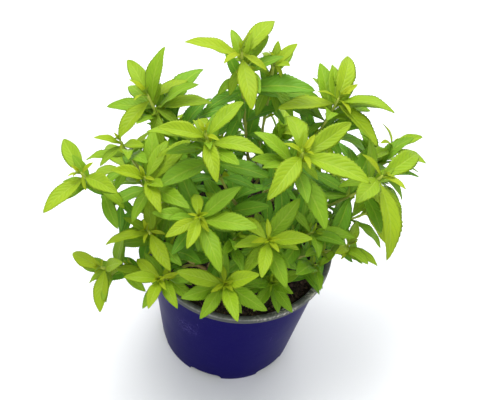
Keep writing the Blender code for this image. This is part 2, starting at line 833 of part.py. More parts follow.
def join_or_cut(thing, others, operation: str, solver: str) -> bpy.types.Mesh:
    """The mesh of a solid joined with, or cut by, a collection's solids."""
    step = thing.modifiers.new(operation.lower(), "BOOLEAN")
    step.operation = operation
    step.operand_type = "COLLECTION"
    step.collection = others
    step.solver = solver
    mesh = finished_mesh(thing)
    thing.modifiers.remove(step)
    return mesh


def round_cutter(name: str, place: Vector, radius: float, depth: float, sides: int, cutters) -> None:
    """A straight round cutter, centred on a place."""
    mesh = bpy.data.meshes.new(name)
    cage = bmesh.new()
    bmesh.ops.create_cone(
        cage, cap_ends=True, segments=sides, radius1=radius * MM, radius2=radius * MM, depth=depth * MM
    )
    cage.to_mesh(mesh)
    cage.free()
    made = add_object(name, mesh, cutters)
    made.location = place * MM
    made.hide_render = True
    made.display_type = "WIRE"


# Pot
def wall_radius(height: float) -> float:
    """The outside of the pot's tapered wall at a height."""
    return FOOT_RADIUS + (WALL_TOP_RADIUS - FOOT_RADIUS) * height / (POT_HEIGHT - LIP_HEIGHT)


def make_pot(collection, cutters, material) -> bpy.types.Object:
    """The pot: a thin tapered wall with a ledged rim, a foot ring with notches, and drain holes."""
    crest = RIM_RADIUS - 0.9
    ledge_edge = RIM_RADIUS - RIM_LEDGE
    under_ledge = POT_HEIGHT - 6.5
    profile = [
        (0, FLOOR_TOP),
        (wall_radius(FLOOR_TOP) - WALL, FLOOR_TOP),
        (wall_radius(under_ledge) - WALL, under_ledge),
        (ledge_edge, POT_HEIGHT - 2.6),
        (ledge_edge + 0.3, POT_HEIGHT - 1.0),
        (crest, POT_HEIGHT),
        (RIM_RADIUS, POT_HEIGHT - 0.7),
        (RIM_RADIUS - 0.2, POT_HEIGHT - LIP_HEIGHT),
        (WALL_TOP_RADIUS, POT_HEIGHT - LIP_HEIGHT),
        (wall_radius(1.0), 1.0),
        (FOOT_RADIUS - 0.5, 0),
        (FOOT_RADIUS - FOOT_RING, 0),
        (FOOT_RADIUS - FOOT_RING + 0.4, FLOOR_UNDERSIDE),
        (0, FLOOR_UNDERSIDE),
    ]
    pot = turned("pot", profile, POT_STEPS, collection, material)
    for i in range(NOTCH_COUNT):
        angle = math.radians(NOTCH_FIRST_ANGLE - 90 + 360 / NOTCH_COUNT * i)
        add_notch(i, angle, cutters)
        spot = Vector((DRAIN_CIRCLE * math.cos(angle), DRAIN_CIRCLE * math.sin(angle), FLOOR_UNDERSIDE))
        round_cutter(f"drain_cutter_{i + 1}", spot, DRAIN_RADIUS, 8, 10, cutters)
    cut = join_or_cut(pot, cutters, "DIFFERENCE", "EXACT")
    pot.modifiers.clear()
    pot.data = cut
    smooth(cut, 30)
    return pot


def add_notch(index: int, angle: float, cutters) -> None:
    """One round-topped cutter for a notch through the foot ring."""
    bpy.ops.mesh.primitive_cube_add(size=1)
    notch = bpy.context.object
    notch.name = f"notch_cutter_{index + 1}"
    size = Vector((14, NOTCH_WIDTH, 2 * NOTCH_HEIGHT)) * MM
    notch.data.transform(Matrix.Diagonal((*size, 1)))
    rounding = notch.modifiers.new("rounding", "BEVEL")
    rounding.width = 3.5 * MM
    rounding.segments = 1
    notch.location = Vector((math.cos(angle), math.sin(angle), 0)) * FOOT_RADIUS * MM
    notch.rotation_euler.z = angle
    for holder in list(notch.users_collection):
        holder.objects.unlink(notch)
    cutters.objects.link(notch)
    notch.hide_render = True
    notch.display_type = "WIRE"


# Soil
def make_soil(collection, cutters, material) -> bpy.types.Object:
    """The soil: it fills the pot to below the rim, is crumbly on top, and has a hole for each woody stem."""
    base = FLOOR_TOP + FIT
    edge = wall_radius(SOIL_LEVEL) - WALL - FIT
    profile = [(radius, SOIL_LEVEL) for radius in SOIL_RINGS]
    profile += [
        (edge - 1, SOIL_LEVEL - 0.4),
        (wall_radius(SOIL_LEVEL - 2) - WALL - FIT, SOIL_LEVEL - 2),
        (wall_radius(base) - WALL - FIT, base),
        (0, base),
    ]
    soil = turned("soil", profile, SOIL_STEPS, collection, material)
    ground = finished_mesh(soil)
    soil.modifiers.clear()
    soil.data = ground
    for point in ground.vertices:
        reach = math.hypot(point.co.x, point.co.y) / MM
        if point.co.z > (SOIL_LEVEL - 0.1) * MM and reach < edge - 2:
            point.co.z += SOIL_BUMP * MM * noise.noise(point.co / MM * 0.11)
    for wood in WOODS:
        spot = Vector((*wood.foot, SOIL_LEVEL))
        round_cutter(f"{wood.name}_hole_cutter", spot, WOOD_FOOT_RADIUS + FIT, 2 * WOOD_DEPTH, 10, cutters)
    soil.data = join_or_cut(soil, cutters, "DIFFERENCE", "EXACT")
    smooth(soil.data, 50)
    return soil


# Plant
def make_wood(wood: Wood, collection, material) -> bpy.types.Object:
    """A woody stem, from its hole in the soil to the knuckle that its last shoot grows from."""
    path = [Vector((*wood.foot, SOIL_LEVEL - WOOD_DEPTH + FIT)), Vector((*wood.foot, SOIL_LEVEL + 1.5))]
    radii = [WOOD_FOOT_RADIUS - 0.1] * 2
    for share in (0.3, 0.55, 0.8, 1.0):
        path.append(wood.point(share))
        radii.append(wood.radius(share))
    made = tube(f"woody_stem_{wood.name}", path, radii, 2, collection, material)
    smooth(made.data, 60)
    return made


def make_shoot(shoot: Shoot, collection, material) -> bpy.types.Object:
    """A leafy shoot: its stem and leaves joined in one solid."""
    path, radii = shoot.stem_with_bud()
    stem = tube("shoot_" + shoot.name, path, radii, 0, collection, material)
    blades = new_collection("blades_of_" + shoot.name)
    for i, leaf in enumerate(shoot.leaves):
        points, faces = leaf.solid()
        mesh = bpy.data.meshes.new(f"blade_{shoot.name}_{i + 1}")
        mesh.from_pydata([point * MM for point in points], [], faces)
        add_object(mesh.name, mesh, blades)
    if shoot.leaves:
        joined = join_or_cut(stem, blades, "UNION", "MANIFOLD")
        stem.data = joined
    for blade in list(blades.objects):
        bpy.data.objects.remove(blade, do_unlink=True)
    bpy.data.collections.remove(blades)
    stem.data.materials.clear()
    stem.data.materials.append(material)
    smooth(stem.data, 50)
    return stem


def main() -> None:
    """Builds the pot, the soil and the plant."""
    clear_scene()
    herb = new_collection("lemon_verbena")
    pot_cutters = new_collection("pot_cutters", hidden=True)
    soil_cutters = new_collection("soil_cutters", hidden=True)
    make_pot(herb, pot_cutters, plain_material("blue_plastic", (0.012, 0.008, 0.12), 0.35))
    make_soil(herb, soil_cutters, plain_material("peat_soil", (0.02, 0.013, 0.008), 0.95))
    bark = plain_material("brown_bark", (0.11, 0.06, 0.03), 0.8)
    foliage = plain_material("verbena_green", (0.24, 0.4, 0.05), 0.5)
    for wood in WOODS:
        make_wood(wood, herb, bark)
    for shoot in Planting().grow():
        make_shoot(shoot, herb, foliage)


main()
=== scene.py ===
"""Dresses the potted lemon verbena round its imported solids.

Lengths are in millimetres and angles in degrees unless a name says otherwise, and a mesh takes
its points through MM, so the scene is in metres. +Z is up, and the photographed side is at -Y.
"""

import json
import logging
import math
import random
from dataclasses import dataclass, field
from enum import Enum

import bmesh
import bpy
import numpy as np
from mathutils import Matrix, Vector, geometry, noise
from mathutils.bvhtree import BVHTree

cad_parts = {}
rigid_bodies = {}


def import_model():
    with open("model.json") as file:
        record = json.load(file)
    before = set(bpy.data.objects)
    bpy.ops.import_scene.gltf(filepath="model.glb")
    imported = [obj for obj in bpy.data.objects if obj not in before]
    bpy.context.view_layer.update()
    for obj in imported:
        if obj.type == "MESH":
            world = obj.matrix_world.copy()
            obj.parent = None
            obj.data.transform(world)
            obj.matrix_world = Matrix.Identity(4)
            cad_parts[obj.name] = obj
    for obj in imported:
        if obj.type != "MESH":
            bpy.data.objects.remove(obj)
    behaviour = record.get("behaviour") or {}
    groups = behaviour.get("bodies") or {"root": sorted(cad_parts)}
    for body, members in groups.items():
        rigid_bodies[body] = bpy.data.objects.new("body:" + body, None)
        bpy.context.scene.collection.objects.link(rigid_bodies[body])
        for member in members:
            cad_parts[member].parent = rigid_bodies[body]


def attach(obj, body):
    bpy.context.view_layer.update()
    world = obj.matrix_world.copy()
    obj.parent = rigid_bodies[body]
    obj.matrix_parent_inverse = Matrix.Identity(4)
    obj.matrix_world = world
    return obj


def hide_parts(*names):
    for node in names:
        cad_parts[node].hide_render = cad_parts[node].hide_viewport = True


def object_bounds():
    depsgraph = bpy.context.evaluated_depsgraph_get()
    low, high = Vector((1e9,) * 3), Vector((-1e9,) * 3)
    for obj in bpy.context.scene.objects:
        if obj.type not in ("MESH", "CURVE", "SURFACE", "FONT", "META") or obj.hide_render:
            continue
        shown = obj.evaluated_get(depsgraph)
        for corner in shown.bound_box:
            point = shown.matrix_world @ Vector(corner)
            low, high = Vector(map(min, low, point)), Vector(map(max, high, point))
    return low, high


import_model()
CAD_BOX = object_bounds()
LOG = logging.getLogger("verbena")
BODY = "root"

Pixel = tuple[float, float]
Triple = tuple[float, float, float]
Socket = bpy.types.NodeSocket
NodeTree = bpy.types.NodeTree
Material = bpy.types.Material
Mesh = bpy.types.Mesh
Feed = Socket | float | tuple
Setting = str | bool | NodeTree

MM = 0.001
UP = Vector((0, 0, 1))

# Pot
POT_HEIGHT = 106.0
RIM_RADIUS = 65.0
RIM_LEDGE = 4.8
LIP_HEIGHT = 4.0
WALL = 1.7
WALL_TOP_RADIUS = 61.6
FOOT_RADIUS = 48.7
FOOT_RING = 2.3
FLOOR_UNDERSIDE = 5.6
FLOOR_TOP = 7.3
NOTCH_COUNT = 6
NOTCH_WIDTH = 24.0
NOTCH_HEIGHT = 5.0
NOTCH_FIRST_ANGLE = -12.0
DRAIN_RADIUS = 4.5
DRAIN_CIRCLE = 36.0

# Soil
FIT = 0.3
SOIL_LEVEL = 98.0
SOIL_BUMP = 1.6

# Plant. The tilts are in radians.
WOOD_DEPTH = 14.0
WOOD_FOOT_RADIUS = 2.3
WOOD_TOP_RADIUS = 1.5
STEM_SEAT_RADIUS = 1.05
STEM_TIP_RADIUS = 0.7
BUD_LENGTH = 2.6
BUD_RADIUS = 0.35
STEM_POINTS = 5
CLEARANCE = 0.35
WOOD_CROOK = 0.12
SHELL_STEPS = 24
FIRST_SEAT = 0.35
SEAT_RANGE = 0.6
SEAT_SHIFTS = (0, 0.12, -0.12, 0.25, -0.25)
SEAT_SWINGS = (0, 12, -12, 24, -24, 36, -36, 60, -60, 90, -90)
LOWEST_SEAT = 0.2
HIGHEST_SEAT = 0.97
LEADER_SWING = 0.01
TILT_BELOW_CLIMB = 0.15
LEAST_TILT = 0.2
MOST_TILT = 1.2
START_PULL = 0.35
END_PULL = 0.3
END_FLATTEN = 0.8
END_RISE = 0.45

# Leaves
ROOT_HALF_WIDTH = 0.3
BLADE_HALF_THICK = 0.42
SMALL_HALF_THICK = 0.32
LEAF_WIDTH = 0.33
SMALL_LEAF_WIDTH = 0.26
SHORTEST_WHORL_LEAF = 42
SHORTEST_LOWER_LEAF = 24
WHORL_SHARE = 0.98
SPARE_REACH = 1.03
WHORL_RISE = 0.2
INNER_RISE = 0.45
LOWER_RISE = 0.05
FACE_RISE = 0.6
RULED_FACE_RISE = 0.3
MIDDLE_OF_LEAF = 0.6
STRETCHES = (1.0, 1.06, 1.13, 1.22)
TURNS = (6, -6, 12, -12, 18, -18)
SHORTENINGS = (0.9, 0.8, 0.7, 0.6)
RULED_SCALES = (1.0, 0.85, 0.7)
RULED_SWINGS = ((0, 0), (0, 10), (0, -10), (14, 0), (-14, 0), (14, 12), (-14, 12))
FIRST_WHORL_DOWN = 14
WHORL_STEP = 17
WHORL_WAVER = 2
WHORL_LEVELS = 2
MOST_LEVELS = 3
LOWEST_WHORL = 0.22
WHORL_SPREAD = 72
SPREAD_STEP = 6
CROWN_SPREAD = 62
CROWN_LENGTHS = (30, 38)
RULED_LENGTHS = (27, 37)

# Small leaves in the crowns and in the angles of the whorls. The turns are in radians.
TUFT_SEED = 5
TUFT_LEAVES = 5
TUFT_WIDTH = 0.3
TUFT_CLEARANCE = 0.1
TUFT_TURN = 2.4
TUFT_SPREAD = 16
TUFT_SPREAD_STEP = 5.5
TUFT_SPREAD_WAVER = 5
TUFT_LENGTH = 4
TUFT_LENGTH_STEP = 1.3
TUFT_LENGTH_WAVER = 0.8
AXIL_SHARES = (0.82, 0.66, 0.5)
AXIL_TURN = 2.1
AXIL_SPREADS = (32, 60)
AXIL_LENGTHS = (9, 17)

# Older leaves that fill the inside
FILL_SEED = 17
FILL_GRID = 7
FILL_ROUNDS = 2
FILL_SKIPPED = 0.1
FILL_NEAREST = 5
FILL_FURTHEST = 24
FILL_SHORTEST = 17
FILL_LONGEST = 38
FILL_SHARES = (0.12, 0.22, 0.32, 0.42, 0.52, 0.62, 0.72, 0.82, 0.92)
FILL_CLEARANCE = 0.15
FILL_WAVER = 2
FILL_AWAY = 12
FILL_AWAY_WAVER = 6
FILL_LONGER = (1.5, 2.0)
FILL_LIFTS = (-0.15, 0.3)
FILL_FACE = 0.4
FILL_WATCHED = (0.3, 0.5, 0.7, 0.85, 1.0)
FILL_TRIES = 12
FILL_MARGIN = 2.5
FILL_MOST = 400
REAR_MOST = 110

# Leaves' turn and colour
TOWARDS_LIGHT = 0.35
MOST_LEAN = 9
NEWEST_AGES = (0.0, 0.12)
WHORL_AGE = 0.24
AGE_WAVER = 0.1
AGEING_LENGTH = 46
GREENER_BY = 0.3

# The crowns that lie low between the others, whose leaves are greener.
GREENER = ("front_right", "right_rim", "inner_front", "inner_middle", "right_mid")

# A blade's sections: share of its length, then the reach of its two sides, whose waves make the teeth.
LEAF_SECTIONS = (
    (0.0, 0.0, 0.0),
    (0.24, 1.0, 1.04),
    (0.46, 1.04, 0.96),
    (0.67, 0.94, 1.06),
    (0.86, 1.08, 0.92),
)
OLD_SECTIONS = ((0.0, 0.0, 0.0), (0.28, 1.0, 1.06), (0.56, 1.06, 0.94), (0.83, 0.92, 1.1))
SMALL_SECTIONS = ((0.0, 0.0, 0.0), (0.34, 1.0, 1.0), (0.72, 1.05, 1.05))


@dataclass(frozen=True)
class Sight:
    """The line of sight of the photograph, which turns its pixels into places on the plant."""

    distance: float = 700.0
    elevation: float = 52.69
    pitch: float = 50.42
    yaw: float = 0.52
    roll: float = 8.33
    focal_px: float = 1015.0
    centre_px: Pixel = (239.5, 200.0)

    def eye(self) -> Vector:
        """Where the eye is."""
        angle = math.radians(self.elevation)
        return Vector((0, -math.cos(angle), math.sin(angle))) * self.distance + UP * POT_HEIGHT

    def axes(self) -> tuple[Vector, Vector, Vector]:
        """The directions of the picture.

        Returns:
            Its right, its up and the way back to the eye.
        """
        pitch, yaw, roll = (math.radians(a) for a in (self.pitch, self.yaw, self.roll))
        ahead = Vector((math.sin(yaw), -math.cos(yaw), 0))
        back = ahead * math.cos(pitch) + UP * math.sin(pitch)
        level = Vector((math.cos(yaw), math.sin(yaw), 0))
        above = back.cross(level)
        right = level * math.cos(roll) + above * math.sin(roll)
        return right, back.cross(right), back

    def pixel(self, point: Vector) -> Pixel:
        """The pixel at which a point shows.

        Args:
            point: the point, in millimetres.

        Returns:
            The pixel, in the frame of the photograph.
        """
        right, above, back = self.axes()
        way = point - self.eye()
        depth = -way.dot(back)
        x = self.centre_px[0] + self.focal_px * way.dot(right) / depth
        return x, self.centre_px[1] - self.focal_px * way.dot(above) / depth

    def ray(self, pixel: Pixel) -> Vector:
        """The direction from the eye through a pixel.

        Args:
            pixel: the pixel.

        Returns:
            The direction.
        """
        right, above, back = self.axes()
        x = (pixel[0] - self.centre_px[0]) / self.focal_px
        y = (self.centre_px[1] - pixel[1]) / self.focal_px
        return (right * x + above * y - back).normalized()

    def at_height(self, pixel: Pixel, height: float) -> Vector:
        """The point at this height that shows at a pixel."""
        eye, ray = self.eye(), self.ray(pixel)
        return eye + ray * ((height - eye.z) / ray.z)

    def tips(self, pixel: Pixel, root: Vector, length: float) -> list[Vector]:
        """The points that show at a pixel and lie this far from a leaf's root.

        Args:
            pixel: the pixel.
            root: the leaf's root.
            length: how far the points lie from it.

        Returns:
            Both points, or the nearest one where the sight line passes further away.
        """
        eye, ray = self.eye(), self.ray(pixel)
        nearest = eye + ray * (root - eye).dot(ray)
        miss = (nearest - root).length
        if miss >= length:
            return [nearest]
        half = math.sqrt(length * length - miss * miss)
        return [nearest + ray * half, nearest - ray * half]

    def miss(self, pixel: Pixel, root: Vector) -> float:
        """How far from root the sight line through a pixel passes."""
        eye, ray = self.eye(), self.ray(pixel)
        return (eye + ray * (root - eye).dot(ray) - root).length


@dataclass(frozen=True)
class TurnedSight(Sight):
    """The same line of sight, carried round the pot's axis to another side."""

    azimuth: float = 180.0

    def eye(self) -> Vector:
        """Where the eye is."""
        return Matrix.Rotation(math.radians(self.azimuth), 3, "Z") @ super().eye()

    def axes(self) -> tuple[Vector, Vector, Vector]:
        """The directions of the picture.

        Returns:
            Its right, its up and the way back to the eye.
        """
        spin = Matrix.Rotation(math.radians(self.azimuth), 3, "Z")
        right, above, back = super().axes()
        return spin @ right, spin @ above, spin @ back


@dataclass(frozen=True)
class Wood:
    """A brown woody stem: where it comes out of the soil and where it ends."""

    name: str
    foot: tuple[float, float]
    top: Triple

    def point(self, share: float) -> Vector:
        """A point of its axis, which has a slight crook.

        Args:
            share: the share of its height, from 0 at the soil to 1 at its top.

        Returns:
            The point.
        """
        foot, top = Vector((*self.foot, SOIL_LEVEL)), Vector(self.top)
        crook = (top - foot).cross(UP) * WOOD_CROOK * math.sin(math.pi * share)
        return foot.lerp(top, share) + crook

    def radius(self, share: float) -> float:
        """Its radius at a share of its height."""
        return WOOD_FOOT_RADIUS + (WOOD_TOP_RADIUS - WOOD_FOOT_RADIUS) * max(share, 0)


@dataclass(frozen=True)
class Crown:
    """A leafy shoot, read from the photograph.

    pixel is its crown's centre, and height is the crown's height over the rim. whorl and inner
    are the tips of its large and small leaves, and lower holds (share along the stem, leaf tip).
    """

    name: str
    wood: int
    pixel: Pixel
    height: float
    whorl: tuple = ()
    inner: tuple = ()
    lower: tuple = ()
    ruled: int = 2


CENTRE, LEFT, RIGHT, BACK, FRONT = range(5)
WOODS = (
    Wood("centre", (3, 3), (6, 2, 136)),
    Wood("left", (-15, -6), (-24, -11, 130)),
    Wood("right", (27, -20), (35, -25, 120)),
    Wood("back", (3, 25), (0, 37, 134)),
    Wood("front", (-13, -27), (-17, -37, 122)),
)
CROWNS = (
    Crown("top", BACK, (242, 54), 128, whorl=((185, 39), (275, 16), (252, 108)),
          inner=((267, 69), (224, 61), (252, 30)),
          lower=((0.9, (232, 29)), (0.7, (315, 87)), (0.68, (203, 113)), (0.42, (279, 106))), ruled=1),
    Crown("top_right", BACK, (274, 63), 116, whorl=((298, 42), (262, 50), (290, 64)),
          inner=((283, 77),), ruled=1),
    Crown("upper_left", CENTRE, (148, 96), 100, whorl=((127, 56), (188, 78), (118, 137)),
          inner=((128, 77), (159, 78), (133, 98)),
          lower=((0.93, (163, 48)), (0.91, (107, 105)), (0.8, (203, 66)), (0.86, (136, 121))), ruled=1),
    Crown("left", LEFT, (121, 142), 82, whorl=((93, 136), (99, 165), (143, 144)),
          inner=((121, 152), (119, 131)), lower=((0.7, (150, 172)),)),
    Crown("far_left", LEFT, (82, 174), 86, whorl=((62, 137), (42, 211), (116, 190)),
          inner=((66, 175), (92, 161), (85, 190)), lower=((0.78, (118, 229)), (0.72, (131, 209))),
          ruled=1),
    Crown("mid_left", LEFT, (145, 178), 84, whorl=((111, 169), (167, 139), (160, 210)),
          inner=((138, 164), (135, 181), (154, 179)), lower=((0.85, (132, 221)),), ruled=1),
    Crown("upper_mid", CENTRE, (206, 135), 114, whorl=((158, 126), (243, 100), (217, 181)),
          inner=((198, 117), (192, 140), (219, 139)), lower=((0.72, (158, 186)), (0.7, (270, 176))),
          ruled=1),
    Crown("upper_right", CENTRE, (303, 154), 106, whorl=((289, 110), (371, 182), (270, 196)),
          inner=((285, 142), (311, 168), (316, 133)),
          lower=((0.93, (351, 122)), (0.78, (327, 229)), (0.8, (250, 160)), (0.55, (279, 233))),
          ruled=1),
    Crown("right_top", CENTRE, (338, 100), 100, whorl=((351, 52), (396, 107), (378, 145), (278, 107)),
          inner=((319, 89), (359, 82), (352, 112)),
          lower=((0.94, (333, 63)), (0.88, (320, 62)), (0.86, (372, 119))), ruled=1),
    Crown("far_right", CENTRE, (381, 177), 76, whorl=((422, 150), (393, 258), (357, 201)),
          inner=((364, 153), (408, 188)),
          lower=((0.93, (401, 229)), (0.73, (329, 247)), (0.72, (352, 147))), ruled=1),
    Crown("right", RIGHT, (392, 146), 47, whorl=((424, 134), (427, 161), (370, 158)),
          inner=((384, 121), (382, 141))),
    Crown("right_low", RIGHT, (348, 245), 40, whorl=((378, 265), (358, 220), (338, 252)),
          inner=((361, 239), (343, 259))),
    Crown("right_mid", CENTRE, (312, 233), 48, whorl=((287, 205), (320, 255)),
          inner=((318, 222), (322, 234))),
    Crown("middle", CENTRE, (268, 240), 66, whorl=((238, 216), (313, 238), (262, 277)),
          inner=((268, 218), (252, 242), (280, 252)), lower=((0.8, (256, 211)), (0.75, (290, 268)))),
    Crown("front", FRONT, (225, 284), 42, whorl=((177, 271), (260, 274), (238, 320)),
          inner=((223, 265), (211, 292), (233, 291)), lower=((0.82, (200, 318)), (0.84, (242, 312))),
          ruled=1),
    Crown("front_left", FRONT, (160, 278), 38, whorl=((136, 258), (124, 276), (148, 308)),
          inner=((178, 273), (165, 290)), lower=((0.85, (176, 306)), (0.8, (195, 300))), ruled=1),
    Crown("left_mid", FRONT, (149, 232), 52, whorl=((105, 243), (169, 200), (170, 270)),
          inner=((142, 218), (143, 242), (165, 233))),
    Crown("inner_left", LEFT, (199, 216), 84, whorl=((196, 192), (187, 248), (165, 236)),
          inner=((188, 213), (206, 222)), lower=((0.8, (170, 202)),)),
    Crown("low_left", LEFT, (103, 268), 26, whorl=((71, 253), (99, 312), (121, 262)),
          inner=((101, 259), (92, 276)), lower=((0.9, (105, 300)),), ruled=1),
    Crown("front_right", RIGHT, (272, 283), 20, whorl=((245, 285), (300, 272), (292, 312)),
          inner=((270, 292),), lower=((0.7, (254, 310)), (0.85, (292, 292))), ruled=0),
    Crown("right_rim", RIGHT, (315, 265), 26, whorl=((330, 259), (318, 275), (303, 262)),
          lower=((0.75, (321, 288)),), ruled=1),
    Crown("inner_front", FRONT, (235, 239), 56, whorl=((228, 213), (222, 255), (262, 247)),
          lower=((0.8, (242, 271)),), ruled=1),
    Crown("inner_middle", CENTRE, (224, 207), 66, whorl=((234, 192), (205, 192), (228, 221))),
)

# The shoots on the side away from the photograph follow this rule.
HIDDEN_WOODS = (CENTRE, BACK, BACK, BACK, LEFT, LEFT)
HIDDEN_ANGLES = (10, 42, 76, 110, 142, 168)
HIDDEN_REACH = (84, 73, 67, 69, 76, 82)
HIDDEN_HEIGHTS = (34, 26, 44, 34, 28, 38)
SEED = 20

# The plant's outline in the photograph, which the leaves placed by rule stay inside.
OUTLINE = (
    (44, 211), (62, 139), (84, 160), (95, 137), (104, 102), (127, 57), (163, 50), (203, 67),
    (215, 82), (232, 30), (275, 17), (298, 43), (290, 78), (313, 64), (351, 53), (396, 107),
    (424, 134), (427, 161), (408, 188), (393, 257), (362, 225), (378, 265), (345, 262), (329, 290),
    (292, 311), (238, 319), (176, 306), (148, 308), (100, 312), (72, 253), (104, 243), (100, 200),
)

# Where the background shows through the plant, as (pixel, radius): the same leaves stay out.
OPENINGS = (
    ((82, 200), 9), ((98, 214), 12), ((104, 232), 11), ((106, 252), 10), ((116, 297), 11),
    ((132, 298), 9), ((122, 282), 6), ((300, 70), 14), ((287, 70), 9), ((312, 68), 8),
    ((208, 84), 9), ((212, 63), 9), ((134, 130), 11), ((110, 121), 10), ((96, 148), 9),
    ((112, 163), 9), ((96, 168), 8), ((132, 190), 10), ((364, 225), 10), ((368, 246), 10),
    ((357, 210), 7), ((336, 268), 9), ((268, 124), 8), ((190, 110), 6), ((136, 252), 8),
    ((326, 170), 6), ((378, 132), 6), ((396, 128), 7), ((64, 168), 7), ((372, 170), 5),
)

# Where the soil shows between the leaves, as (pixel, radius): no leaf that fills a gap lies there.
SOIL_SHOWS = (((300, 294), 13), ((288, 300), 9), ((204, 297), 8), ((262, 299), 9))


def bezier(a: Vector, b: Vector, c: Vector, d: Vector, t: float) -> Vector:
    """A point of a cubic curve through a and d."""
    s = 1 - t
    return a * s**3 + b * 3 * s * s * t + c * 3 * s * t * t + d * t**3


@dataclass
class Leaf:
    """One leaf: a blade folded along its midrib and arched over, with teeth on its outer half."""

    root: Vector
    tip: Vector
    upper: Vector
    width: float
    bow: float = 0.07
    fold: float = 0.3
    small: bool = False
    young: bool = True

    def frame(self) -> tuple[Vector, Vector, Vector]:
        """The directions of the blade.

        Returns:
            Its whole length, its side and the way its upper face looks.
        """
        chord = self.tip - self.root
        side = chord.cross(self.upper).normalized()
        return chord, side, side.cross(chord).normalized()

    def solid(self, spare: float = 0.0) -> tuple[list[Vector], list[tuple[int, ...]]]:
        """Its closed mesh.

        Args:
            spare: what is added all round, to keep others clear.

        Returns:
            The points and the triangles.
        """
        sections = SMALL_SECTIONS if self.small else LEAF_SECTIONS if self.young else OLD_SECTIONS
        chord, side, face = self.frame()
        length = chord.length
        half_thick = SMALL_HALF_THICK if self.small else BLADE_HALF_THICK
        points = []
        for share, left, right in sections:
            thick = (half_thick if share else ROOT_HALF_WIDTH) + spare
            rib = self.root + chord * share + face * (self.bow * length * 4 * share * (1 - share))
            half = self.width / 2 * leaf_outline(share)
            reach = [max(half * wave, ROOT_HALF_WIDTH) + spare for wave in (left, right)]
            points += [
                rib + side * reach[0] + face * (reach[0] * self.fold),
                rib + face * thick,
                rib - side * reach[1] + face * (reach[1] * self.fold),
                rib - face * thick,
            ]
        faces = [(0, 1, 2), (0, 2, 3)]
        for i in range(len(sections) - 1):
            a, b = 4 * i, 4 * i + 4
            for j in range(2):
                k = j + 1
                faces += [(a + j, b + j, b + k), (a + j, b + k, a + k)]
            faces += [(a + 2, b + 2, b + 3), (a + 2, b + 3, a + 3)]
            faces += [(a + 3, b + 3, b), (a + 3, b, a)]
        last = 4 * len(sections) - 4
        points.append(self.tip + chord.normalized() * spare)
        faces += [(last + j, last + 4, last + (j + 1) % 4) for j in range(4)]
        return points, faces


def leaf_outline(share: float) -> float:
    """The blade's half width along its length, from 0 at both ends to 1."""
    return math.sin(math.pi * share**1.05) ** (1.15 - 0.4 * share)


def ring_quads(count: int, sides: int) -> list[tuple[int, ...]]:
    """The quads between rings of points.

    Args:
        count: how many rings there are.
        sides: how many points each has.

    Returns:
        The quads, from the first ring on.
    """
    quads = []
    for a in range(0, (count - 1) * sides, sides):
        for i in range(sides):
            j = (i + 1) % sides
            quads.append((a + i, a + j, a + sides + j, a + sides + i))
    return quads


def tube_mesh(path: list[Vector], radii: list[float], sides: int = 6) -> tuple[list, list]:
    """A plain tube round a path, used only to test for room.

    Args:
        path: the points of its axis.
        radii: its radius at each of them.
        sides: how many sides it has.

    Returns:
        The points and the quads.
    """
    points = []
    for i, centre in enumerate(path):
        ahead = (path[min(i + 1, len(path) - 1)] - path[max(i - 1, 0)]).normalized()
        across = ahead.orthogonal().normalized()
        for j in range(sides):
            turned = Matrix.Rotation(2 * math.pi * j / sides, 3, ahead) @ across
            points.append(centre + turned * radii[i])
    return points, ring_quads(len(path), sides)


@dataclass
class Piece:
    """A solid that others keep clear of."""

    owner: str
    points: list
    faces: list
    blade_faces: list
    low: Vector = field(init=False)
    high: Vector = field(init=False)

    def __post_init__(self) -> None:
        """Works out its box and its search trees."""
        self.low = Vector([min(p[i] for p in self.points) for i in range(3)])
        self.high = Vector([max(p[i] for p in self.points) for i in range(3)])
        self.whole = BVHTree.FromPolygons(self.points, self.faces)
        self.blade = BVHTree.FromPolygons(self.points, self.blade_faces) if self.blade_faces else None

    def near(self, other: "Piece") -> bool:
        """Whether the two boxes meet."""
        return all(self.low[i] <= other.high[i] and other.low[i] <= self.high[i] for i in range(3))

    def hits(self, other: "Piece") -> bool:
        """Whether this solid crosses another, leaving out the roots of leaves of one shoot.

        Args:
            other: the other solid.

        Returns:
            Whether they cross.
        """
        if not self.near(other):
            return False
        if self.owner != other.owner:
            return bool(self.whole.overlap(other.whole))
        return bool(self.blade and other.blade and self.blade.overlap(other.blade))


def leaf_piece(owner: str, leaf: Leaf, spare: float) -> Piece:
    """A leaf as a solid. Its blade starts beyond its root's first section."""
    points, faces = leaf.solid(spare)
    return Piece(owner, points, faces, [f for f in faces if min(f) >= 4])


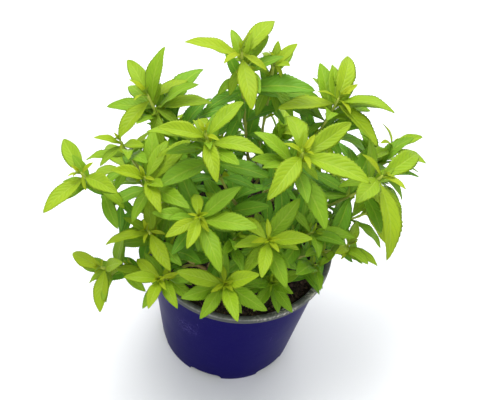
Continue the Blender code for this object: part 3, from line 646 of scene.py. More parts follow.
@dataclass
class Shoot:
    """A leafy shoot: its stem's path from its seat to its crown, and its leaves."""

    name: str
    bends: tuple[Vector, Vector, Vector, Vector]
    leaves: list[Leaf] = field(default_factory=list)
    tufts: list[Leaf] = field(default_factory=list)
    path: list[Vector] = field(init=False)

    def __post_init__(self) -> None:
        """Works out the stem's path."""
        self.path = self.smooth_path(STEM_POINTS)

    def smooth_path(self, count: int) -> list[Vector]:
        """That many points of the stem's curve."""
        return [bezier(*self.bends, i / (count - 1)) for i in range(count)]

    def at(self, share: float) -> Vector:
        """A point of the stem.

        Args:
            share: the share of its length, from 0 at the seat to 1 at the crown.

        Returns:
            The point.
        """
        place = share * (len(self.path) - 1)
        i = min(int(place), len(self.path) - 2)
        return self.path[i].lerp(self.path[i + 1], place - i)

    def root(self, share: float | None) -> Vector:
        """Where a leaf starts: on the stem's axis, or in the bud where no share is given."""
        return self.path[-1] + self.heading(1) * BUD_LENGTH * 0.5 if share is None else self.at(share)

    def heading(self, share: float) -> Vector:
        """The way the stem grows there."""
        return (self.at(min(share + 0.1, 1)) - self.at(max(share - 0.1, 0))).normalized()

    def length(self) -> float:
        """The stem's length."""
        return sum((b - a).length for a, b in zip(self.path, self.path[1:]))

    def radii(self) -> list[float]:
        """The stem's radius along its path.

        Returns:
            The radius at each of its points.
        """
        steps = len(self.path) - 1
        taper = STEM_TIP_RADIUS - STEM_SEAT_RADIUS
        return [STEM_SEAT_RADIUS + taper * i / steps for i in range(steps + 1)]

    def piece(self, spare: float) -> Piece:
        """The stem with the pointed bud that ends it, as a solid to keep clear of.

        Args:
            spare: what is added all round.

        Returns:
            The solid.
        """
        bud = self.path[-1] + self.heading(1) * BUD_LENGTH
        radii = [radius + spare for radius in (*self.radii(), BUD_RADIUS)]
        points, faces = tube_mesh([*self.path, bud], radii)
        return Piece(self.name, points, faces, faces)


class Planting:
    """Places the shoots and their leaves, each where it was measured or by rule, with room round it."""

    def __init__(self) -> None:
        """Starts with the pot, the soil and the woody stems."""
        self.sight = Sight()
        self.rng = random.Random(SEED)
        self.placed: list[Piece] = []
        self.shoots: list[Shoot] = []
        self.add_woods_and_pot()

    def add_woods_and_pot(self) -> None:
        """What the leaves have to keep clear of."""
        for wood in WOODS:
            path = [wood.point(i / 4) for i in range(5)]
            radii = [wood.radius(i / 4) for i in range(5)]
            points, faces = tube_mesh(path, radii, 8)
            self.placed.append(Piece("wood_" + wood.name, points, faces, []))
        inner = RIM_RADIUS - RIM_LEDGE
        ground = SOIL_LEVEL + SOIL_BUMP
        self.placed.append(self.shell("soil", ((0.0, ground), (inner - 1, ground))))
        rim = ((inner, POT_HEIGHT - 8), (inner, POT_HEIGHT), (RIM_RADIUS, POT_HEIGHT))
        wall = (*rim, (FOOT_RADIUS, 0.0))
        self.placed.append(self.shell("pot", wall))

    def shell(self, owner: str, profile: tuple) -> Piece:
        """A surface of revolution.

        Args:
            owner: the name of what it belongs to.
            profile: its (radius, height) points.

        Returns:
            The surface, as something to keep clear of.
        """
        steps = SHELL_STEPS
        points = [Vector((r * math.cos(a), r * math.sin(a), z)) for r, z in profile for a in turn(steps)]
        return Piece(owner, points, ring_quads(len(profile), steps), [])

    def free(self, piece: Piece) -> bool:
        """Whether a solid crosses nothing placed so far."""
        return not any(piece.hits(other) for other in self.placed)

    def add_stem(self, name: str, wood: Wood, crown: Vector, seat: float, leader: bool) -> None:
        """Adds one shoot's stem, with its seat moved round or along the wood until there is room.

        Args:
            name: the shoot's name.
            wood: the woody stem that it grows on.
            crown: where it ends.
            seat: the share of the wood's height at which it starts.
            leader: whether it goes on from the wood's end.
        """
        for shift in SEAT_SHIFTS:
            for swing in SEAT_SWINGS:
                moved = min(max(seat + shift, LOWEST_SEAT), HIGHEST_SEAT)
                shoot = Shoot(name, self.stem_bends(wood, crown, moved, swing, leader))
                if self.free(shoot.piece(CLEARANCE)):
                    self.placed.append(shoot.piece(0))
                    self.shoots.append(shoot)
                    return

    def stem_bends(self, wood: Wood, crown: Vector, seat: float, swing: float, leader: bool) -> tuple:
        """The bends of a stem's curve, from its seat on the wood to its crown.

        Args:
            wood: the woody stem that it grows on.
            crown: where it ends.
            seat: the share of the wood's height at which it starts.
            swing: how far its seat is turned round the wood.
            leader: whether it starts at the wood's end instead.

        Returns:
            The four points of the curve.
        """
        outward = (crown - wood.point(1)) * Vector((1, 1, 0))
        if outward.length < 1:
            outward = Vector((0, 1, 0))
        outward.normalize()
        way = crown - wood.point(seat)
        climb = math.atan2(way.z, (way * Vector((1, 1, 0))).length)
        turned = Matrix.Rotation(math.radians(swing), 3, "Z") @ outward
        if leader:
            straight = (wood.point(1) - wood.point(0.9)).normalized()
            start = wood.point(1) + straight * CLEARANCE
            ahead = (straight + turned * LEADER_SWING * swing).normalized()
        else:
            tilt = min(max(climb - TILT_BELOW_CLIMB, LEAST_TILT), MOST_TILT)
            ahead = turned * math.cos(tilt) + UP * math.sin(tilt)
            start = wood.point(seat) + turned * (
                wood.radius(seat) + CLEARANCE + STEM_SEAT_RADIUS * math.sin(tilt)
            )
        arrive = outward * math.cos(climb) * END_FLATTEN + UP * (math.sin(climb) + END_RISE)
        before = crown - arrive.normalized() * way.length * END_PULL
        return start, start + ahead * way.length * START_PULL, before, crown

    def add_stems(self) -> None:
        """Adds every stem, each wood's own in the order of their seats, the lowest crown lowest."""
        wanted = [(c.name, c.wood, self.sight.at_height(c.pixel, POT_HEIGHT + c.height)) for c in CROWNS]
        for i, wood in enumerate(HIDDEN_WOODS):
            angle = math.radians(HIDDEN_ANGLES[i])
            place = Vector((math.cos(angle), math.sin(angle), 0)) * HIDDEN_REACH[i]
            wanted.append((f"back_{i + 1}", wood, place + UP * (POT_HEIGHT + HIDDEN_HEIGHTS[i])))
        for index, wood in enumerate(WOODS):
            mine = [w for w in wanted if w[1] == index]
            mine.sort(key=lambda w: steepness(w[2] - wood.point(1)))
            for k, (name, _, crown) in enumerate(mine):
                leader = k == len(mine) - 1
                seat = FIRST_SEAT + SEAT_RANGE * k / max(len(mine) - 1, 1)
                self.add_stem(name, wood, crown, seat, leader)

    def settle(self, shoot: Shoot, choices: list[Leaf]) -> None:
        """Adds the first of some leaves that has room, if one has.

        Args:
            shoot: the shoot that they grow on.
            choices: the leaves, the best first.
        """
        for leaf in choices:
            if self.free(leaf_piece(shoot.name, leaf, CLEARANCE)):
                self.placed.append(leaf_piece(shoot.name, leaf, 0))
                shoot.leaves.append(leaf)
                return

    def measured(
        self, shoot: Shoot, share: float | None, pixel: tuple, length: float, rise: float, small: bool
    ) -> None:
        """Adds a leaf whose tip shows at a pixel, moved along the line of sight to find room.

        Args:
            shoot: the shoot that it grows on.
            share: its seat's place along the stem, or None in the bud.
            pixel: where its tip shows.
            length: its length.
            rise: how far it rises, as a share of its length.
            small: whether it is one of a crown's small leaves.
        """
        root = shoot.root(share)
        upper = (shoot.heading(1 if share is None else share) + UP * FACE_RISE).normalized()
        choices = []
        for stretch in STRETCHES:
            tips = self.sight.tips(pixel, root, length * stretch)
            tips.sort(key=lambda tip: abs(tip.z - root.z - rise * length))
            choices += [self.leaf(root, tip, upper, small) for tip in tips]
        nearest = choices[0].tip
        for turn_by in TURNS:
            spun = Matrix.Rotation(math.radians(turn_by), 3, upper) @ (nearest - root)
            choices.append(self.leaf(root, root + spun, upper, small))
        for shorter in SHORTENINGS:
            choices.append(self.leaf(root, root + (nearest - root) * shorter, upper, small))
        self.settle(shoot, choices)

    def leaf(self, root: Vector, tip: Vector, upper: Vector, small: bool, young: bool = True) -> Leaf:
        """A leaf of a natural width for its length.

        Args:
            root: where it starts.
            tip: where it ends.
            upper: the way that its upper face looks.
            small: whether it is one of a crown's small leaves.
            young: whether it is one of a crown's leaves at all.

        Returns:
            The leaf.
        """
        width = (tip - root).length * (SMALL_LEAF_WIDTH if small else LEAF_WIDTH)
        return Leaf(root, tip, upper, width, small=small, young=young)

    def add_crown_leaves(self) -> None:
        """Adds the leaves that the photograph shows, the large whorls first."""
        by_name = {shoot.name: shoot for shoot in self.shoots}
        kinds = (("whorl", WHORL_SHARE, WHORL_RISE, False), ("inner", None, INNER_RISE, True))
        for kind, share, rise, small in kinds:
            for crown in CROWNS:
                shoot = by_name.get(crown.name)
                tips = getattr(crown, kind)
                if not shoot or not tips:
                    continue
                root = shoot.root(share)
                length = SPARE_REACH * max(self.sight.miss(tip, root) for tip in tips)
                for tip in tips:
                    own = max(self.sight.miss(tip, root) * SPARE_REACH, min(length, SHORTEST_WHORL_LEAF))
                    self.measured(shoot, share, tip, own, rise, small)
        for crown in CROWNS:
            for share, tip in crown.lower:
                shoot = by_name.get(crown.name)
                if shoot:
                    own = max(self.sight.miss(tip, shoot.at(share)) * SPARE_REACH, SHORTEST_LOWER_LEAF)
                    self.measured(shoot, share, tip, own, LOWER_RISE, False)

    def allowed(self, root: Vector, tip: Vector) -> bool:
        """Whether a leaf keeps to the outline, and out of the openings.

        Args:
            root: where it starts.
            tip: where it ends.

        Returns:
            Whether it does.
        """
        shown = self.sight.pixel(tip), self.sight.pixel(root.lerp(tip, MIDDLE_OF_LEAF))
        return inside(shown[0], OUTLINE) and not any(
            math.dist(pixel, centre) < radius for pixel in shown for centre, radius in OPENINGS
        )

    def ruled_leaf(
        self, shoot: Shoot, share: float, angle: float, length: float, open_by: float
    ) -> None:
        """Adds a leaf of a whorl that follows the rule, turned a little if it has no room.

        Args:
            shoot: the shoot that it grows on.
            share: its seat's place along the stem.
            angle: its place round the stem, in radians.
            length: its length.
            open_by: how far it opens from the stem.
        """
        root, ahead = shoot.root(share), shoot.heading(share)
        choices = []
        for scale in RULED_SCALES:
            for swing, lift in RULED_SWINGS:
                out = ahead.orthogonal().normalized()
                out = Matrix.Rotation(angle + math.radians(swing), 3, ahead) @ out
                spread = math.radians(open_by - lift)
                along = ahead * math.cos(spread) + out * math.sin(spread)
                tip = root + along * length * scale
                young = share == WHORL_SHARE
                if self.allowed(root, tip):
                    upper = (ahead + UP * RULED_FACE_RISE).normalized()
                    choices.append(self.leaf(root, tip, upper, False, young))
        self.settle(shoot, choices)

    def add_ruled_leaves(self) -> None:
        """Adds the crowns of the hidden shoots, then the older whorls lower on every stem."""
        ruled = {crown.name: crown.ruled for crown in CROWNS}
        for shoot in self.shoots:
            start = self.rng.uniform(0, math.pi)
            if shoot.name in ruled:
                continue
            for i in range(3):
                angle, length = start + i * 2 * math.pi / 3, self.rng.uniform(*CROWN_LENGTHS)
                self.ruled_leaf(shoot, WHORL_SHARE, angle, length, CROWN_SPREAD)
        for level in range(WHORL_LEVELS):
            for shoot in self.shoots:
                down = FIRST_WHORL_DOWN + WHORL_STEP * level
                down += self.rng.uniform(-WHORL_WAVER, WHORL_WAVER)
                share = 1 - down / shoot.length()
                start = self.rng.uniform(0, 2 * math.pi / 3)
                lengths = [self.rng.uniform(*RULED_LENGTHS) for _ in range(3)]
                if share < LOWEST_WHORL or level >= ruled.get(shoot.name, MOST_LEVELS):
                    continue
                for i, length in enumerate(lengths):
                    angle = start + i * 2 * math.pi / 3
                    self.ruled_leaf(shoot, share, angle, length, WHORL_SPREAD + SPREAD_STEP * level)

    def add_tufts(self) -> None:
        """Adds the tiny leaves in each crown and the small ones in the angles of the whorls below it."""
        rng = random.Random(TUFT_SEED)
        for shoot in self.shoots:
            ahead = shoot.heading(1)
            start = rng.uniform(0, math.pi)
            for i in range(TUFT_LEAVES):
                angle = start + TUFT_TURN * i
                spread = TUFT_SPREAD + TUFT_SPREAD_STEP * i
                spread += rng.uniform(-TUFT_SPREAD_WAVER, TUFT_SPREAD_WAVER)
                length = TUFT_LENGTH + TUFT_LENGTH_STEP * i
                length += rng.uniform(-TUFT_LENGTH_WAVER, TUFT_LENGTH_WAVER)
                self.add_tuft(shoot, shoot.path[-1] + ahead, ahead, angle, spread, length)
            for share in AXIL_SHARES:
                for i in range(3):
                    angle = rng.uniform(0, 2 * math.pi) + AXIL_TURN * i
                    spread = rng.uniform(*AXIL_SPREADS)
                    length = rng.uniform(*AXIL_LENGTHS)
                    self.add_tuft(shoot, shoot.at(share), shoot.heading(share), angle, spread, length)

    def add_tuft(
        self, shoot: Shoot, root: Vector, ahead: Vector, angle: float, spread: float, length: float
    ) -> None:
        """Adds one small leaf where it has room.

        Args:
            shoot: the shoot that it grows on.
            root: where it starts.
            ahead: the way the stem grows there.
            angle: its place round the stem, in radians.
            spread: how far it opens from the stem.
            length: its length.
        """
        out = Matrix.Rotation(angle, 3, ahead) @ ahead.orthogonal().normalized()
        opened, closed = math.sin(math.radians(spread)), math.cos(math.radians(spread))
        tip = root + (ahead * closed + out * opened) * length
        upper = ahead * opened - out * closed
        leaf = Leaf(root, tip, upper, length * TUFT_WIDTH, small=True, young=False)
        piece = leaf_piece(shoot.name, leaf, TUFT_CLEARANCE)
        others = [other for other in self.placed if other.owner != shoot.name]
        if self.allowed(root, tip) and not any(piece.hits(other) for other in others):
            shoot.tufts.append(leaf)

    def sees_leaf(self, sight: Sight, pixel: Pixel) -> bool:
        """Whether a leaf shows at a pixel of a sight."""
        eye, ray = sight.eye(), sight.ray(pixel)
        return any(piece.blade and piece.blade.ray_cast(eye, ray)[0] for piece in self.placed)

    def crown_outline(self, sight: Sight) -> tuple[Pixel, ...]:
        """The outline that the crowns make from another side, in that sight's pixels."""
        pixels = [sight.pixel(shoot.path[-1]) for shoot in self.shoots]
        return tuple(pixels[i] for i in geometry.convex_hull_2d(pixels))

    def fill_gaps(self, sight: Sight, outline: tuple, seed: int, most: int) -> None:
        """Adds older leaves lower down where sight lines still pass through the plant.

        Args:
            sight: the side that the plant is seen from.
            outline: the pixels that bound the plant from there.
            seed: the seed of the draw.
            most: the most leaves to add.
        """
        rng = random.Random(seed)
        eye = sight.eye()
        seats = [(shoot, share, shoot.at(share)) for shoot in self.shoots for share in FILL_SHARES]
        columns = range(int(min(p[0] for p in outline)), int(max(p[0] for p in outline)), FILL_GRID)
        rows = range(int(min(p[1] for p in outline)), int(max(p[1] for p in outline)), FILL_GRID)
        for _ in range(FILL_ROUNDS):
            pixels = [(x + rng.uniform(-FILL_WAVER, FILL_WAVER),
                       y + rng.uniform(-FILL_WAVER, FILL_WAVER)) for y in rows for x in columns]
            rng.shuffle(pixels)
            for pixel in pixels:
                skipped = rng.random() < FILL_SKIPPED
                if skipped or not inside(pixel, outline) or self.sees_leaf(sight, pixel):
                    continue
                ray = sight.ray(pixel)
                choices = []
                for shoot, share, root in seats:
                    target = eye + ray * (root - eye).dot(ray)
                    away = (target - root).length
                    if FILL_NEAREST < away < FILL_FURTHEST:
                        order = abs(away - FILL_AWAY) + rng.uniform(0, FILL_AWAY_WAVER)
                        choices.append((order, shoot, share, root, target))
                choices.sort(key=lambda choice: choice[0])
                most -= any(self.fill(*choice[1:], rng) for choice in choices[:FILL_TRIES])
                if most <= 0:
                    return

    def fill(
        self, shoot: Shoot, share: float, root: Vector, target: Vector, rng: random.Random
    ) -> bool:
        """Adds one leaf that passes under a sight line, if it has room.

        Args:
            shoot: the shoot that it grows on.
            share: its seat's place along the stem.
            root: its seat.
            target: the point of the sight line that it passes near.
            rng: the draw for its length and lean.

        Returns:
            Whether it was added.
        """
        way = (target - root).normalized()
        wanted = (target - root).length * rng.uniform(*FILL_LONGER)
        length = min(max(wanted, FILL_SHORTEST), FILL_LONGEST)
        way = (way + UP * rng.uniform(*FILL_LIFTS)).normalized()
        tip = root + way * length
        upper = (shoot.heading(share) * FILL_FACE + UP).normalized()
        leaf = Leaf(root, tip, upper, length * LEAF_WIDTH, young=False)
        if not self.open_ground(root, tip) or not self.allowed(root, tip):
            return False
        if not self.free(leaf_piece(shoot.name, leaf, FILL_CLEARANCE)):
            return False
        self.placed.append(leaf_piece(shoot.name, leaf, 0))
        shoot.leaves.append(leaf)
        return True

    def open_ground(self, root: Vector, tip: Vector) -> bool:
        """Whether a leaf keeps well out of the openings and the soil that shows.

        Args:
            root: where it starts.
            tip: where it ends.

        Returns:
            Whether it does, and also stays inside the solids' own box.
        """
        if any(not low < place * MM < high for place, low, high in zip(tip, *CAD_BOX)):
            return False
        shown = [self.sight.pixel(root.lerp(tip, share)) for share in FILL_WATCHED]
        return not any(
            math.dist(pixel, spot) < radius + FILL_MARGIN
            for pixel in shown for spot, radius in (*OPENINGS, *SOIL_SHOWS)
        )

    def grow(self) -> None:
        """Places everything that the solids hold too."""
        self.add_stems()
        self.add_crown_leaves()
        self.add_ruled_leaves()


def turn(steps: int) -> list[float]:
    """Equal angles round a circle."""
    return [2 * math.pi * i / steps for i in range(steps)]


def inside(pixel: Pixel, outline: tuple) -> bool:
    """Whether a pixel lies inside an outline.

    Args:
        pixel: the pixel.
        outline: the outline's corners.

    Returns:
        Whether it does.
    """
    x, y = pixel
    odd = False
    for (ax, ay), (bx, by) in zip(outline, outline[1:] + outline[:1]):
        if (ay > y) != (by > y) and x < ax + (bx - ax) * (y - ay) / (by - ay):
            odd = not odd
    return odd


def steepness(way: Vector) -> float:
    """How steeply a direction climbs."""
    return way.z / max(way.length, 1e-6)


class LeafForm(Enum):
    """The forms of leaf, in the order in which the blades' names sort them."""

    FLAT = 0
    DROOPING = 1
    TWISTED = 2
    CUPPED = 3
    OLD = 4
    SMALL = 5
    TUFT = 6


@dataclass(frozen=True)
class BladeShape:
    """How one form of leaf is bent, as shares of its length."""

    width: float
    bow: float
    fold: float
    droop: float
    twist: float
    ripple: float
    teeth: int


BLADES = {
    LeafForm.FLAT: BladeShape(0.335, 0.055, 0.2, 0.06, 4, 0.006, 14),
    LeafForm.DROOPING: BladeShape(0.33, 0.085, 0.26, 0.2, -7, 0.008, 13),
    LeafForm.TWISTED: BladeShape(0.325, 0.07, 0.3, 0.1, 16, 0.01, 14),
    LeafForm.CUPPED: BladeShape(0.345, 0.06, 0.42, 0.04, -12, 0.007, 13),
    LeafForm.OLD: BladeShape(0.34, 0.08, 0.18, 0.16, 8, 0.014, 13),
    LeafForm.SMALL: BladeShape(0.28, 0.07, 0.42, 0.08, 6, 0.006, 8),
    LeafForm.TUFT: BladeShape(0.3, 0.08, 0.7, 0.03, 10, 0.004, 5),
}


@dataclass(frozen=True)
class Blade:
    """One fine leaf, a unit long along +X from its root, with its upper face towards +Z."""

    form: LeafForm
    shape: BladeShape

    THICKNESS = 0.006
    RIB_DEPTH = 0.014
    PETIOLE = 0.012
    FIRST_ROWS = (0.0, 0.035, 0.08, 0.14, 0.2)
    FIRST_TOOTH = 0.26
    LAST_TOOTH = 0.975
    TOOTH_PEAK = 0.72
    TOOTH_DEPTH = 0.062
    ACROSS = (-1.0, -0.72, -0.36, 0.0, 0.36, 0.72, 1.0)

    def rows(self) -> list[tuple[float, float]]:
        """The rows along the blade.

        Returns:
            Their places, each with how far the edge stands out there.
        """
        rows = [(share, 1.0) for share in self.FIRST_ROWS]
        step = (self.LAST_TOOTH - self.FIRST_TOOTH) / self.shape.teeth
        for i in range(self.shape.teeth):
            start = self.FIRST_TOOTH + i * step
            peak = start + self.TOOTH_PEAK * step
            rows += [(start, 1 - self.TOOTH_DEPTH), (peak, 1 + self.TOOTH_DEPTH * 0.5)]
        return rows

    def place(self, share: float, across: float, reach: float) -> Vector:
        """A point of the upper face.

        Args:
            share: its place from 0 at the root to 1 at the tip.
            across: its place from -1 to 1 across the blade.
            reach: how far the edge stands out there, 1 between a tooth and the next.

        Returns:
            The point.
        """
        shape = self.shape
        half = max(shape.width / 2 * leaf_outline(share), self.PETIOLE)
        side = across * half * (reach if abs(across) == 1 else 1)
        rise = shape.bow * 4 * share * (1 - share) + abs(side) * shape.fold
        rise -= shape.droop * max(share - 0.5, 0) ** 2 * 2
        rise += shape.ripple * across * across * math.sin(share * 17 + 2 * across + self.form.value)
        turn_by = math.radians(shape.twist) * share
        return Vector((share, side * math.cos(turn_by) - rise * math.sin(turn_by) * 0.3,
                       rise + side * math.sin(turn_by)))

    def mesh(self) -> Mesh:
        """The blade as a closed mesh.

        Returns:
            The mesh, with the place along and across the blade as its UV map.
        """
        cage = bmesh.new()
        under = cage.verts.layers.float.new("under")
        along = cage.loops.layers.uv.new("blade")
        uv = {}
        tops, bottoms = [], []
        for share, reach in self.rows():
            top, bottom = [], []
            for across in self.ACROSS:
                point = self.place(share, across, reach)
                top.append(cage.verts.new(point))
                uv[top[-1]] = (share, 0.5 + across / 2)
                if abs(across) == 1:
                    bottom.append(top[-1])
                    continue
                depth = self.THICKNESS + (self.RIB_DEPTH * (1 - 0.7 * share) if across == 0 else 0)
                bottom.append(cage.verts.new(point - Vector((0, 0, depth))))
                bottom[-1][under] = 1.0
                uv[bottom[-1]] = uv[top[-1]]
            tops.append(top)
            bottoms.append(bottom)
        tip = cage.verts.new(self.place(1.0, 0.0, 1.0))
        uv[tip] = (1.0, 0.5)
        last = len(self.ACROSS) - 1
        for a, b in zip(tops, tops[1:]):
            for j in range(last):
                cage.faces.new((a[j], b[j], b[j + 1], a[j + 1])).normal_flip()
        for a, b in zip(bottoms, bottoms[1:]):
            for j in range(last):
                cage.faces.new((a[j], b[j], b[j + 1], a[j + 1]))
        for j in range(last):
            cage.faces.new((tops[-1][j], tops[-1][j + 1], tip))
            cage.faces.new((bottoms[-1][j + 1], bottoms[-1][j], tip))
        cage.faces.new([*tops[0], *reversed(bottoms[0][1:-1])])
        bmesh.ops.recalc_face_normals(cage, faces=cage.faces)
        for face in cage.faces:
            face.smooth = True
            for loop in face.loops:
                loop[along].uv = uv[loop.vert]
        return mesh_of(cage, f"blade_{self.form.value:02d}")


class NodeSketch:
    """Adds nodes to a tree and joins them, in few words."""

    def __init__(self, tree: NodeTree) -> None:
        """Keeps the tree to add to."""
        self.tree = tree

    def add(self, kind: str, values: dict | None = None, **settings: Setting) -> bpy.types.Node:
        """Adds a node.

        Args:
            kind: the node's type.
            values: each input, by name or place, with its value or the socket that feeds it.
            settings: the node's own properties.

        Returns:
            The node.
        """
        node = self.tree.nodes.new(kind)
        for name, setting in settings.items():
            setattr(node, name, setting)
        self.fill(node, values or {})
        return node

    def fill(self, node: bpy.types.Node, values: dict) -> None:
        """Gives a node's inputs their values and links.

        Args:
            node: the node.
            values: each input, by name or place, with its value or the socket that feeds it.
        """
        for name, value in values.items():
            if isinstance(value, Socket):
                self.tree.links.new(value, node.inputs[name])
            else:
                node.inputs[name].default_value = value

    def out(
        self, kind: str, values: dict | None = None, socket: int | str = 0, **settings: Setting
    ) -> Socket:
        """Adds a node and returns one of its outputs."""
        return self.add(kind, values, **settings).outputs[socket]

    def math(self, operation: str, *values: Feed) -> Socket:
        """A number worked out from numbers."""
        return self.out("ShaderNodeMath", dict(enumerate(values)), operation=operation)

    def times(self, a: Feed, b: Feed) -> Socket:
        """One number times another."""
        return self.math("MULTIPLY", a, b)

    def span(
        self, value: Feed, low: float, high: float, start: float = 0.0, end: float = 1.0
    ) -> Socket:
        """A number moved from one range to another, and held inside it."""
        numbers = {"Value": value, "From Min": low, "From Max": high, "To Min": start, "To Max": end}
        return self.out("ShaderNodeMapRange", numbers, clamp=True)

    def place(self) -> Socket:
        """The place on the object."""
        return self.out("ShaderNodeTexCoord", socket="Object")

    def stored(self, name: str) -> Socket:
        """A number that the mesh stores, as a material reads it."""
        return self.out("ShaderNodeAttribute", attribute_name=name, socket="Fac")

    def named(self, name: str, kind: str) -> Socket:
        """What the mesh stores under a name, as a geometry tree reads it."""
        return self.out("GeometryNodeInputNamedAttribute", {"Name": name}, data_type=kind)

    def noise(self, place: Feed, scale: Feed, detail: float) -> Socket:
        """An uneven number from 0 to 1."""
        return self.out("ShaderNodeTexNoise", {"Vector": place, "Scale": scale, "Detail": detail})

    def scaled(self, vector: Feed, by: Feed) -> Socket:
        """A vector made longer or shorter."""
        return self.out("ShaderNodeVectorMath", {0: vector, "Scale": by}, operation="SCALE")

    def centred(self, uneven: bpy.types.Node) -> Socket:
        """A noise node's colour as a shift either way of nothing."""
        halves = {0: uneven.outputs["Color"], 1: (0.5, 0.5, 0.5)}
        return self.out("ShaderNodeVectorMath", halves, operation="SUBTRACT")

    def mix(self, share: Feed, a: Feed, b: Feed) -> Socket:
        """A colour between two.

        Args:
            share: how much of the second there is.
            a: the first, as a socket or as red, green and blue.
            b: the second.

        Returns:
            The mixed colour.
        """
        first, second = (end if isinstance(end, Socket) else (*end, 1) for end in (a, b))
        values = {0: share, 6: first, 7: second}
        return self.out("ShaderNodeMix", values, socket=2, data_type="RGBA", blend_type="MIX")


def node_group(name: str, kind: str, inputs: dict, outputs: dict) -> tuple[NodeSketch, dict, dict]:
    """Starts a node group with named sockets.

    Args:
        name: the group's name.
        kind: ShaderNodeTree or GeometryNodeTree.
        inputs: each input's name with its socket type and value.
        outputs: each output's name with its socket type.

    Returns:
        The sketch, the sockets that bring the inputs and those that take the outputs.
    """
    tree = bpy.data.node_groups.new(name, kind)
    for label, (socket_type, value) in inputs.items():
        socket = tree.interface.new_socket(label, in_out="INPUT", socket_type=socket_type)
        if value is not None:
            socket.default_value = value
    for label, socket_type in outputs.items():
        tree.interface.new_socket(label, in_out="OUTPUT", socket_type=socket_type)
    start, end = tree.nodes.new("NodeGroupInput"), tree.nodes.new("NodeGroupOutput")
    return NodeSketch(tree), start.outputs, end.inputs


def mottle_group() -> NodeTree:
    """A soft uneven mask of two sizes, for colour that changes over a surface.

    Returns:
        The group.
    """
    sketch, given, made = node_group(
        "mottle", "ShaderNodeTree",
        {"Scale": ("NodeSocketFloat", 100.0), "Contrast": ("NodeSocketFloat", 0.5)},
        {"Mask": "NodeSocketFloat", "Fine": "NodeSocketFloat"},
    )
    place = sketch.place()
    broad = sketch.noise(place, given["Scale"], 3.0)
    finer = sketch.times(given["Scale"], 6.0)
    fine = sketch.noise(place, finer, 2.0)
    low = sketch.times(given["Contrast"], -0.5)
    high = sketch.times(given["Contrast"], 0.5)
    centred = sketch.math("SUBTRACT", broad, 0.5)
    tree = sketch.tree
    mask = sketch.out("ShaderNodeMapRange", {"Value": centred, "From Min": low, "From Max": high})
    tree.links.new(mask, made["Mask"])
    tree.links.new(fine, made["Fine"])
    return tree


def vein_group() -> NodeTree:
    """The veins of a leaf, from its place along and across the blade.

    Returns:
        The group.
    """
    sketch, given, made = node_group(
        "leaf_veins", "ShaderNodeTree",
        {"Pairs": ("NodeSocketFloat", 9.0), "Slant": ("NodeSocketFloat", 2.6)},
        {"Vein": "NodeSocketFloat", "Rib": "NodeSocketFloat", "Puff": "NodeSocketFloat"},
    )
    uv = sketch.add("ShaderNodeUVMap", uv_map="blade")
    parts = sketch.add("ShaderNodeSeparateXYZ", {0: uv.outputs[0]})
    across = sketch.math("ABSOLUTE", sketch.math("MULTIPLY_ADD", parts.outputs[1], 2.0, -1.0))
    bend = sketch.times(sketch.math("POWER", across, 1.3), given["Slant"])
    phase = sketch.math("SUBTRACT", sketch.times(parts.outputs[0], given["Pairs"]), bend)
    away = sketch.math("PINGPONG", phase, 0.5)
    tree = sketch.tree
    line, fading = sketch.span(away, 0.0, 0.13, 1.0, 0.0), sketch.span(across, 0.5, 1.0, 1.0, 0.25)
    tree.links.new(sketch.times(line, fading), made["Vein"])
    tree.links.new(sketch.span(across, 0.02, 0.11, 1.0, 0.0), made["Rib"])
    tree.links.new(sketch.math("SINE", sketch.times(away, math.pi)), made["Puff"])
    return tree


@dataclass(frozen=True)
class Finish:
    """What every finish has: a name, the group of uneven masks and a shader to feed."""

    name: str
    mottle: NodeTree

    def start(self) -> tuple[Material, NodeSketch, bpy.types.Node]:
        """Starts a new material.

        Returns:
            The material, its sketch and its shader.
        """
        material = bpy.data.materials.new(self.name)
        material.use_nodes = True
        sketch = NodeSketch(material.node_tree)
        return material, sketch, material.node_tree.nodes["Principled BSDF"]

    def patches(self, sketch: NodeSketch, scale: float, contrast: float) -> bpy.types.Node:
        """The uneven masks of this scale and contrast."""
        values = {"Scale": scale, "Contrast": contrast}
        return sketch.add("ShaderNodeGroup", values, node_tree=self.mottle)

    @staticmethod
    def bump(sketch: NodeSketch, height: Feed, strength: float, distance: float) -> Socket:
        """A normal from a height."""
        values = {"Strength": strength, "Distance": distance, "Height": height}
        return sketch.out("ShaderNodeBump", values, socket="Normal")


